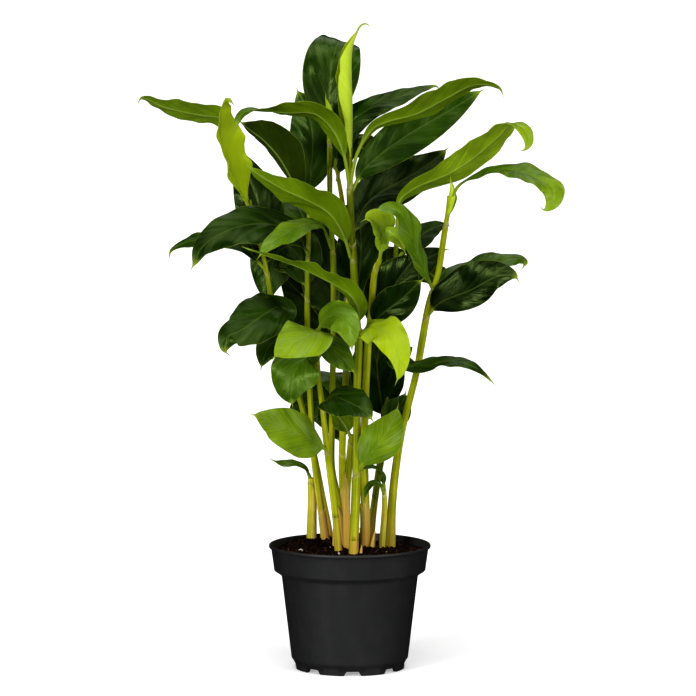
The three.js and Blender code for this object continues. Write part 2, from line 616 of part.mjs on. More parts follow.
// The row of a blade at share t of its midrib: the centre, the ways across and up, how far along
// it lies, how full the blade is there, and half the width of the bare strap.
function rowAt({ face, stalk = STALK_LENGTH, tail = TAIL_LENGTH, belly = BELLY }, line, t) {
  const along = line.getTangentAt(t);
  const side = along.clone().cross(facing(face, t)).normalize();
  const length = line.getLength();
  const run = t * length;
  return {
    centre: line.getPointAt(t),
    side,
    normal: side.clone().cross(along),
    run,
    full: fullness((run - stalk) / (length - stalk - tail), belly),
    strap: THREE.MathUtils.lerp(STALK_WIDTH, TAIL_WIDTH, t) / 2,
  };
}

// A point in the middle of the sheet at share s across a row, from -1 to 1, and the way from there
// to the upper skin.
function sheetPoint({ wide, fold, cup, wave, lean = 0 }, row, s) {
  const sign = Math.sign(s);
  const half = Math.max(row.strap, (wide * row.full * (1 + lean * sign)) / 2);
  const bend = THREE.MathUtils.degToRad((cup * Math.abs(s)) / 2) * Math.sqrt(row.full);
  const slope = THREE.MathUtils.degToRad(fold) * Math.sqrt(row.full) + bend;
  const ripple = Math.sin((2 * Math.PI * row.run) / RIPPLE_LENGTH + RIPPLE_SHIFT * sign);
  const rise = half * Math.abs(s) * Math.sin(slope) + wave * s * s * row.full * ripple;
  const middle = row.centre.clone().addScaledVector(row.side, half * s * Math.cos(slope));
  middle.addScaledVector(row.normal, rise);
  return { middle, offset: skinOffset(row.normal, row.side, sign, slope + Math.atan(bend)) };
}

// A leaf blade: a thin folded, cupped and rippled sheet along its midrib.
function blade(leaf) {
  const line = new THREE.CatmullRomCurve3(leaf.rib.map(toVector), false, "centripetal");
  const stops = rowStops(line.getLength(), leaf);
  const points = stops.flatMap((t) => {
    const row = rowAt(leaf, line, t);
    return COLUMNS.map((s) => sheetPoint(leaf, row, s));
  });
  const upper = points.map(({ middle, offset }) => middle.clone().add(offset).toArray());
  const lower = points.map(({ middle, offset }) => middle.clone().sub(offset).toArray());
  return closedGeometry([...upper, ...lower], sheetTriangles(stops.length - 1, COLUMNS.length));
}

// A leafy shoot: its stem with all its leaves grown into it.
function shoot({ stem, radius, leaves }) {
  const line = new THREE.CatmullRomCurve3(stem.map(toVector), false, "centripetal");
  const parts = [solidOf(tube(line, radius, stem.length))];
  for (const leaf of Object.values(leaves)) {
    parts.push(solidOf(blade(leaf)));
  }
  return mainBody(wasm.Manifold.union(parts)).simplify(TRIM);
}

// The hole that a shoot stands in.
function stemHole({ stem, radius }) {
  const line = new THREE.CatmullRomCurve3(stem.map(toVector), false, "centripetal");
  const hole = solidOf(tube(line, radius, stem.length, CLEARANCE));
  return hole.add(hole.translate([0, 0, -CLEARANCE]));
}

// A closed profile of [radius, height] points turned about the pot's axis.
function turned(profile, sides) {
  const points = profile.map(([r, z]) => new THREE.Vector2(r, z));
  const lathe = new THREE.LatheGeometry([...points, points[0]], sides);
  return lathe.rotateX(Math.PI / 2);
}

// The pot's inner wall from the floor up.
const INNER = [
  [WALL_FOOT_RADIUS - WALL, CHAMFER_TOP],
  [WALL_TOP_RADIUS - WALL, POT_HEIGHT - COLLAR_DEPTH - LEDGE_DEPTH],
  [COLLAR_FOOT_RADIUS - WALL, POT_HEIGHT - COLLAR_DEPTH],
  [COLLAR_TOP_RADIUS - WALL, POT_HEIGHT],
];

// The pot: rim, collar, ledge, tapering wall, raised floor and notched foot ring.
function pot() {
  const ledge = POT_HEIGHT - COLLAR_DEPTH;
  const profile = [
    [0, FLOOR_LIFT],
    [FOOT_RADIUS - FOOT_RING, FLOOR_LIFT],
    [FOOT_RADIUS - FOOT_RING, 0],
    [FOOT_RADIUS, 0],
    [FOOT_RADIUS + FOOT_FLARE, CHAMFER_TOP / 2],
    [WALL_FOOT_RADIUS, CHAMFER_TOP],
    [WALL_TOP_RADIUS, ledge - LEDGE_DEPTH],
    [COLLAR_FOOT_RADIUS - LEDGE_CORNER, ledge - LEDGE_CORNER],
    [COLLAR_FOOT_RADIUS, ledge],
    [COLLAR_TOP_RADIUS, POT_HEIGHT - RIM_DEPTH - RIM_SLOPE],
    [RIM_RADIUS, POT_HEIGHT - RIM_DEPTH],
    [RIM_RADIUS, POT_HEIGHT],
    ...INNER.slice().reverse(),
    [FOOT_RADIUS - FOOT_RING, FLOOR_LIFT + WALL],
    [0, FLOOR_LIFT + WALL],
  ];
  let solid = solidOf(turned(profile, POT_SIDES));
  for (let i = 0; i < NOTCH_COUNT; i += 1) {
    const turn = (2 * Math.PI * i) / NOTCH_COUNT - Math.PI / 2 + NOTCH_TURN;
    const notch = new THREE.BoxGeometry(4 * FOOT_RING, NOTCH_WIDTH, 2 * NOTCH_HEIGHT);
    notch.translate(FOOT_RADIUS, 0, 0).rotateZ(turn);
    const drain = new THREE.CylinderGeometry(DRAIN_RADIUS, DRAIN_RADIUS, 4 * WALL, 8);
    drain.rotateX(Math.PI / 2).translate(DRAIN_RING, 0, FLOOR_LIFT).rotateZ(turn);
    solid = solid.subtract(solidOf(notch)).subtract(solidOf(drain));
  }
  return solid;
}

// The soil's height above its level at a place: crumbs all over and a low mound at the back left.
function soilRise(x, y) {
  const winding = Math.sin(x * CRUMB_WAVE.x + CRUMB_WAVE.bend * Math.sin(y * CRUMB_WAVE.slow));
  const crumbs = winding * Math.sin(y * CRUMB_WAVE.y + x * CRUMB_WAVE.skew);
  const far = Math.hypot(x - MOUND.x, y - MOUND.y) / MOUND.spread;
  return CRUMB * crumbs + MOUND.height * Math.exp(-far * far);
}

// The bed of soil, which fills the pot to SOIL_LEVEL, with a plain hole for each stem.
function soil() {
  const floor = FLOOR_LIFT + WALL + CLEARANCE;
  const edge = INNER.map(([r, z]) => [r - CLEARANCE, z]);
  const slope = (edge[3][0] - edge[2][0]) / (edge[3][1] - edge[2][1]);
  const brim = edge[2][0] + slope * (SOIL_LEVEL - edge[2][1]) - 2 * CLEARANCE;
  const profile = [[0, floor], [FOOT_RADIUS - FOOT_RING - 2 * CLEARANCE, floor], edge[0], edge[1],
    edge[2]];
  for (let i = SOIL_RINGS; i >= 0; i -= 1) {
    profile.push([(brim * i) / SOIL_RINGS, SOIL_LEVEL]);
  }
  const geometry = turned(profile, SOIL_SIDES);
  const place = geometry.attributes.position;
  for (let i = 0; i < place.count; i += 1) {
    if (place.getZ(i) > SOIL_LEVEL - CLEARANCE) {
      place.setZ(i, SOIL_LEVEL + soilRise(place.getX(i), place.getY(i)));
    }
  }
  const holes = Object.values(SHOOTS).map(stemHole);
  return mainBody(solidOf(geometry).subtract(wasm.Manifold.union(holes))).simplify(TRIM);
}

const plant = new THREE.Group();
plant.add(meshOf("pot", pot(), SKIN.pot));
plant.add(meshOf("soil", soil(), SKIN.soil));
for (const [name, form] of Object.entries(SHOOTS)) {
  plant.add(meshOf(name, shoot(form), SKIN.shoot));
}

export default plant;
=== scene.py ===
"""The looks of a potted cardamom plant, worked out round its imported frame.

Metres, +Z up, +X to the viewer's right and +Y away from the viewer. Each leafy shoot, the pot and
the soil is made again at a finer grain, and stands for its plainer solid of the frame.
"""
import math

import bpy
import numpy as np
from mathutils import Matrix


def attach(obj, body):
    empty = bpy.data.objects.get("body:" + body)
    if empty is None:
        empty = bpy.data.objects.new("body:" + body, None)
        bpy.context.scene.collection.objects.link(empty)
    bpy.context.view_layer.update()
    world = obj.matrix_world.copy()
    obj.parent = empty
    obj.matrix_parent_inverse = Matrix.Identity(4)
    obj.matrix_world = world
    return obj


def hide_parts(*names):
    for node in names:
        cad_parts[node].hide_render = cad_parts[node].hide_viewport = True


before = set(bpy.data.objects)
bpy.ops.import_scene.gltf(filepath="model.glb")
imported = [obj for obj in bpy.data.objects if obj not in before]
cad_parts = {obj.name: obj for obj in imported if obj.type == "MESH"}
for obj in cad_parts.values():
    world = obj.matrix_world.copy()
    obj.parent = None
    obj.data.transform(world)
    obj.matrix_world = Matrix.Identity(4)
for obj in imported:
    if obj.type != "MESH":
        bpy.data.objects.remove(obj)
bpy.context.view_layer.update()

MM = 0.001
RANDOM_SEED = 20

# The photograph's viewpoint: metres, and millimetres for the sensor and the lens.
EYE = (-0.00145, -3.1, 0.552)
LOOK_DOWN = math.radians(5.415)
SENSOR_WIDTH = 36
LENS = 201.3
FARTHEST_SEEN = 400

# The studio: a floor that glows a little, and a dome of light that is brighter overhead.
FLOOR_SIZE = 300
FLOOR_GLOW = 0.32
FLOOR_PALES = (0.93, 0.93, 0.93), (0.9, 0.9, 0.9)
DOME_LOW, DOME_HIGH = 0.02, 0.5
DOME_RISE = (0.1, 0.95)
# Each soft light's turn from the viewer's side, its height above the horizon, strength and spread.
SUNS = {
    "front": (0, 10, 0.45, 40), "left": (-40, 15, 1.7, 16), "right": (50, 20, 1.2, 28),
    "top": (-10, 70, 1.3, 40), "back": (175, 62, 0.6, 40),
}

# The pot, in millimetres.
RIM_RADIUS = 65
POT_HEIGHT = 100
LEDGE_HEIGHT = 80
FOOT_RADIUS = 44.4
FOOT_RING = 3
FLOOR_LIFT = 4
INSIDE = [(63.2, 98.4), (62.6, 96), (61.4, 88), (59.9, 80.6), (58, 77.5), (54.6, 75), (53.7, 72),
          (50, 40), (45.9, 9), (44.8, 6.4), (41, 5.2), (20, 5.2), (1, 5.2)]
# Notches and recesses change the foot's points that lie beyond one radius and below one height.
NOTCH_COUNT = 8
NOTCH_TURN = math.radians(3)
NOTCH = {"half_width": 6.1, "flare": 1.4, "height": 3.6, "beyond": 40.4, "below": 4.5}
RECESS = {"half_width": 10.5, "flare": 0.35, "depth": 0.6, "beyond": 44.1, "below": 5}
POT_SIDES = 384
LONGEST_STEP = 4.5

# The bed of soil, in millimetres: its mound, the size and height of its hills, its crumbs, bits of
# white grit and root fibres, and how far those stay clear of the pot.
SOIL_LEVEL = 94
SOIL_RADIUS = 61.4
SOIL_SKIRT = [(59.3, 80), (53.2, 74), (45.4, 9), (41, 5.6), (0.5, 5.6)]
MOUND = {"x": -26, "y": 40, "height": 7, "spread": 24}
HILL_SIZES = (9.5, 4.1, 1.9)
HILL_HEIGHTS = (2.4, 1.5, 0.9)
GRAIN_SHIFT = (31, 7)
LATTICE = 61
BED_SHADE = 0.3
SOIL_RINGS, SOIL_SIDES = 110, 320
CRUMBS = 1900
CRUMB_HEIGHTS, CRUMB_WIDTHS = (-0.7, 0.1, 0.75), (0.6, 1.0, 0.55)
CRUMB_SIDES = 6
CRUMB = {"least": 0.4, "more": 1.3, "stretch": (0.55, 1.5), "dents": (0.75, 1.2), "lift": 0.2}
CRUMB_SHADE = 0.75
GRIT_SHARE = 0.02
RIM_GAP = {"crumbs": 1.5, "fibre_starts": 5, "fibres": 2}
FIBRES = 150
FIBRE = {"radius": 0.13, "steps": (0.8, 2.2), "bend": 0.5, "lift": 0.35, "shades": (0.4, 0.9)}

# Steps that a smooth line is measured in between two of its points, and along all of it.
SPAN_STEPS = 40
SEARCH_STEPS, FINE_STEPS = 200, 400

# Leaf blades, in millimetres.
LEAF_ROWS = 84
HALF_COLUMNS = [0.025, 0.06, 0.12, 0.2, 0.3, 0.42, 0.54, 0.66, 0.77, 0.86, 0.93, 0.975, 1.0]
COLUMNS = np.array([*(-column for column in reversed(HALF_COLUMNS)), 0, *HALF_COLUMNS])
BLADE = 0.55
MARGIN_THINNING = 0.55
FULLNESS = 0.8
FLAT_FROM = (0.02, 0.3)
STALK_WIDTH, TAIL_WIDTH = 3, 1.4
STALK_SHELL, STALK_ROUNDNESS = 0.16, 0.85
TIP = {"narrowing": 0.85, "length": 8}
KEEL = {"at_foot": 0.9, "at_tip": 0.1, "reach": 1.1}
GROOVE = {"depth": 0.22, "reach": 0.8}
VEIN_SWEEP = 2.1
RIPPLE_LENGTH = 34
SMALL_RIPPLES = {"lengths": (15, 23), "share": 0.22}
PLEATS = {"lengths": (9, 5.2), "heights": (0.1, 0.03)}
SWELLS = {"lengths": (27, 17), "heights": (0.45, 0.27)}
# How far the two halves of a blade are out of step in their ripples and swells.
OUT_OF_STEP = {"ripple": 1.9, "small": 2.6, "swell": 1.3}

# Stems and the sleeves round them, in millimetres.
STEM_ROWS, STEM_SIDES = 90, 28
STEM_RIBS = {"count": 5, "depth": 0.025, "twist": 3}
FOOT_SWELL = {"share": 0.14, "above_soil": 6, "spread": 16}
FOOT_BLUSH_REACH = 26
FOOT_TONE_REACH = 85
SLEEVE_TUCK = 0.25
SHEATH = {"length": 55, "rows": 14, "slant": 5.5, "shell": 0.42, "least": 0.05, "full_from": 0.7}
SHEATH_ENDS = (0.02, 0.98)
SHEATH_RIM, RIM_FROM = 0.4, 0.93
HUSK = {"rows": 12, "slant": 0.45, "shell": 0.3, "flare": 0.9, "crumple": 0.12, "crumples": 7}
# The waves of a husk's ragged edge: height, number round the stem, and start.
HUSK_RAGS = [(1.2, 5, 0), (0.8, 9, 2)]
# A husk's tone, blush and paleness, each at its foot and at its edge.
HUSK_LOOKS = [(0.84, 0.74), (0.95, 0.6), (0, 0.2)]
# Dried sleeves: lower and upper height, and the turn of the highest part of the edge.
HUSKS = {
    "shoot_low_centre": [(93, 158, 200), (93, 122, 60)],
    "shoot_centre_right": [(93, 132, 250), (93, 112, 110)],
    "shoot_left_inner": [(93, 124, 300)],
    "shoot_upright": [(93, 128, 240)],
    "shoot_back": [(96, 140, 280)],
}
# Small buds that break out of the soil.
BUD_LOOK = dict(tone=(0.95, 0.9), blush=1.0)
BUDS = {
    "shoot_upright": dict(line=[(-12, 18, 90), (-12.6, 17, 100), (-13.5, 16, 110)], radius=(2.3, 0.3)),
    "shoot_main": dict(line=[(8, -12, 90), (9, -12.5, 96), (9.6, -13, 101)], radius=(1.9, 0.3)),
    "shoot_centre_right": dict(line=[(18, 19, 90), (19, 18.5, 99), (20.4, 18, 108)], radius=(2.6, 0.4)),
}

# Colours by tone, from dark to light.
UPPER_GREENS = [
    (0.0, (0.0015, 0.005, 0.0004)), (0.2, (0.006, 0.02, 0.0006)), (0.4, (0.024, 0.062, 0.001)),
    (0.6, (0.075, 0.143, 0.005)), (0.8, (0.18, 0.27, 0.01)), (1.0, (0.37, 0.46, 0.003)),
]
UNDER_GREENS = [
    (0.0, (0.006, 0.011, 0.0006)), (0.3, (0.023, 0.04, 0.001)), (0.5, (0.06, 0.102, 0.001)),
    (0.7, (0.125, 0.2, 0.002)), (0.85, (0.23, 0.34, 0.008)), (1.0, (0.46, 0.58, 0.05)),
]
STEM_GREENS = [
    (0.0, (0.02, 0.03, 0.001)), (0.3, (0.075, 0.1, 0.002)), (0.5, (0.16, 0.195, 0.003)),
    (0.7, (0.32, 0.34, 0.006)), (0.85, (0.5, 0.44, 0.03)), (1.0, (0.75, 0.58, 0.18)),
]
SOIL_BROWNS = [
    (0.0, (0.002, 0.0009, 0.0005)), (0.3, (0.008, 0.0035, 0.0016)), (0.6, (0.045, 0.018, 0.009)),
    (0.85, (0.1, 0.035, 0.013)), (0.95, (0.5, 0.44, 0.38)), (1.0, (0.6, 0.55, 0.5)),
]
RIB_PALE = (0.3, 0.4, 0.08)
MARGIN_PALE = (0.22, 0.27, 0.03)
STALK_GREEN = (0.2, 0.27, 0.02)
BLUSH = (0.72, 0.36, 0.1)
SHEATH_EDGE = (0.45, 0.38, 0.2)
LEAF_SHEEN = (0.7, 1.0, 0.3)
# A painted sheen: pale grey-green mixed into a leaf's upper side in cloudy patches, standing for glossy
# reflections.
LEAF_PAINTED_SHEEN = (0.24, 0.33, 0.11)
# A painted highlight: a pale strip near the midrib of the palest leaves, standing for the lit side of the
# rolled spear.
PAINTED_LIT_STRIP = (0.55, 0.66, 0.2)
POT_BLACKS = (0.0125, 0.0128, 0.013), (0.024, 0.024, 0.0238)

# The grains of a leaf: waves a millimetre along the veins and across the leaf, the jump from one
# leaf's tone to the next, and the detail.
STREAK = (0.5, 0.03, 37, 3)
FINE = (2.4, 0.06, 19, 1)
# CLOUD places the patches of painted sheen.
CLOUD = (0.07, 0.05, 53, 2)
# How fast the fine ridges follow each other along the veins, in radians a millimetre.
RIDGE_PACE = 3.9
# Where each mark of a leaf begins and where it is full: tones, noise, millimetres from the midrib,
# shares of the half-width, or fullness of the blade.
CALM_TONES = (0.7, 0.92)
PAINTED_SHEEN_CLOUD, PAINTED_SHEEN_TONES = (0.42, 0.85), (0.93, 0.85)
LIT_STRIP_TONES, LIT_STRIP_REACH = (0.9, 0.97), (5.5, 0.5)
RIB_REACH = (0.95, 0.25)
MARGIN_REACH, MARGIN_FULLNESS = (0.965, 1.0), (0.05, 0.3)
STALK_FULLNESS = (0.3, 0.0)
# How strong each mark is where it is full.
CALM_SHARE = 0.65
PAINTED_SHEEN_STRENGTH = {"least": 0.03, "by_tone": 0.5}
LIT_STRIP_SHARE, MARGIN_SHARE, STALK_SHARE = 0.32, 0.5, 0.8
RIB = {"above": 0.09, "more_below": 0.28}
BLUSH_STREAKS = (0.2, 0.7)
DUSTY = (0.45, 0.8)
GRIT_SHADES = (0.93, 0.97)

# Each stem, in millimetres: its line from inside the soil upwards, its radius and its tone at the
# foot and at the top, and how much its foot blushes.
STEMS = {
    "shoot_main": dict(line=[(3, -14, 68), (3, -14, 94), (5, -11, 145), (5.5, -8, 185), (6, -6, 232),
        (7, -4, 266), (5, -2, 288), (3, 0, 328), (1, 0, 360), (0, 0, 388), (0, 0, 418)],
        radius=(3.6, 2.2), tone=(0.74, 0.42), blush=0.6),
    "shoot_right_tall": dict(line=[(33, 26, 68), (33, 26, 94), (34, 25, 126), (37, 22, 158),
        (42, 18, 190), (48, 12, 215), (54, 7, 240), (58, 4, 264), (63, 1, 292), (67, 0, 306),
        (71, 0, 320), (74.5, -1, 344), (78.4, -3, 371), (79, -4, 380)],
        radius=(3.8, 1.7), tone=(0.7, 0.58), blush=0.4),
    "shoot_centre_right": dict(line=[(13, 24, 68), (13, 24, 94), (12.5, 20, 126), (11.5, 12, 168),
        (12.5, 6, 216), (15, 0, 268), (17, -6, 290), (20, -14, 320), (24, -20, 331)],
        radius=(4, 2), tone=(0.78, 0.6), blush=1.0),
    "shoot_front_left": dict(line=[(-9, -8, 68), (-9, -8, 94), (-13, -10, 137), (-15, -11, 153),
        (-19, -12, 185), (-21.5, -13, 209), (-25, -13, 237), (-26, -14, 257), (-26, -14, 275)],
        radius=(3.1, 1.2), tone=(0.7, 0.6), blush=0.5),
    "shoot_upright": dict(line=[(-6, 20, 68), (-6, 20, 94), (-10, 18, 135), (-14.5, 14, 160),
        (-14.5, 14, 192), (-13.5, 14, 255), (-13, 18, 318), (-14.5, 22, 350), (-16, 26, 380),
        (-16, 28, 430)],
        radius=(3, 1.7), tone=(0.76, 0.45), blush=0.8),
    "shoot_left_inner": dict(line=[(-20, 32, 68), (-20, 32, 98), (-25, 28, 135), (-29, 24, 168),
        (-32, 22, 215), (-34, 22, 262), (-34, 24, 318), (-33, 28, 345), (-33, 32, 380)],
        radius=(3.2, 1.2), tone=(0.92, 0.48), blush=1.0),
    "shoot_left_outer": dict(line=[(-17, 46, 68), (-17, 46, 100), (-23, 42, 136), (-30, 38, 172),
        (-40, 34, 212), (-52, 26, 256), (-62, 18, 292), (-68, 16, 325), (-76, 15, 355), (-80, 13, 376)],
        radius=(3, 1.2), tone=(0.86, 0.46), blush=0.8),
    "shoot_back_right": dict(line=[(17, 44, 68), (17, 44, 98), (22, 38, 143), (26, 32, 170),
        (30, 26, 214), (34, 22, 262), (36, 20, 295), (37, 16, 330), (38, 10, 362)],
        radius=(3.1, 1.3), tone=(0.5, 0.3), blush=0.5),
    "shoot_back": dict(line=[(-4, 46, 68), (-4, 46, 98), (-6, 42, 150), (-6, 38, 176), (-3, 38, 240),
        (-1, 40, 300), (-3, 40, 350), (-8, 39, 385), (-12, 38, 404)],
        radius=(3, 1.2), tone=(0.72, 0.6), blush=0.6),
    "shoot_low_centre": dict(line=[(-2, 12, 68), (-2, 12, 94), (-2, 8, 143), (1, 4, 180), (1.5, 3, 188)],
        radius=(2.8, 2.4), tone=(0.66, 0.5), blush=0.9),
    "shoot_short_left": dict(line=[(-31, 36, 68), (-31, 36, 100), (-30.5, 35, 134), (-31, 34, 149)],
        radius=(4, 3), tone=(0.9, 0.72), blush=0.8),
    "shoot_short_right": dict(line=[(26, 14, 68), (26, 14, 94), (28, 14, 126), (28, 13, 142)],
        radius=(2.4, 1.6), tone=(0.9, 0.6), blush=0.7),
}
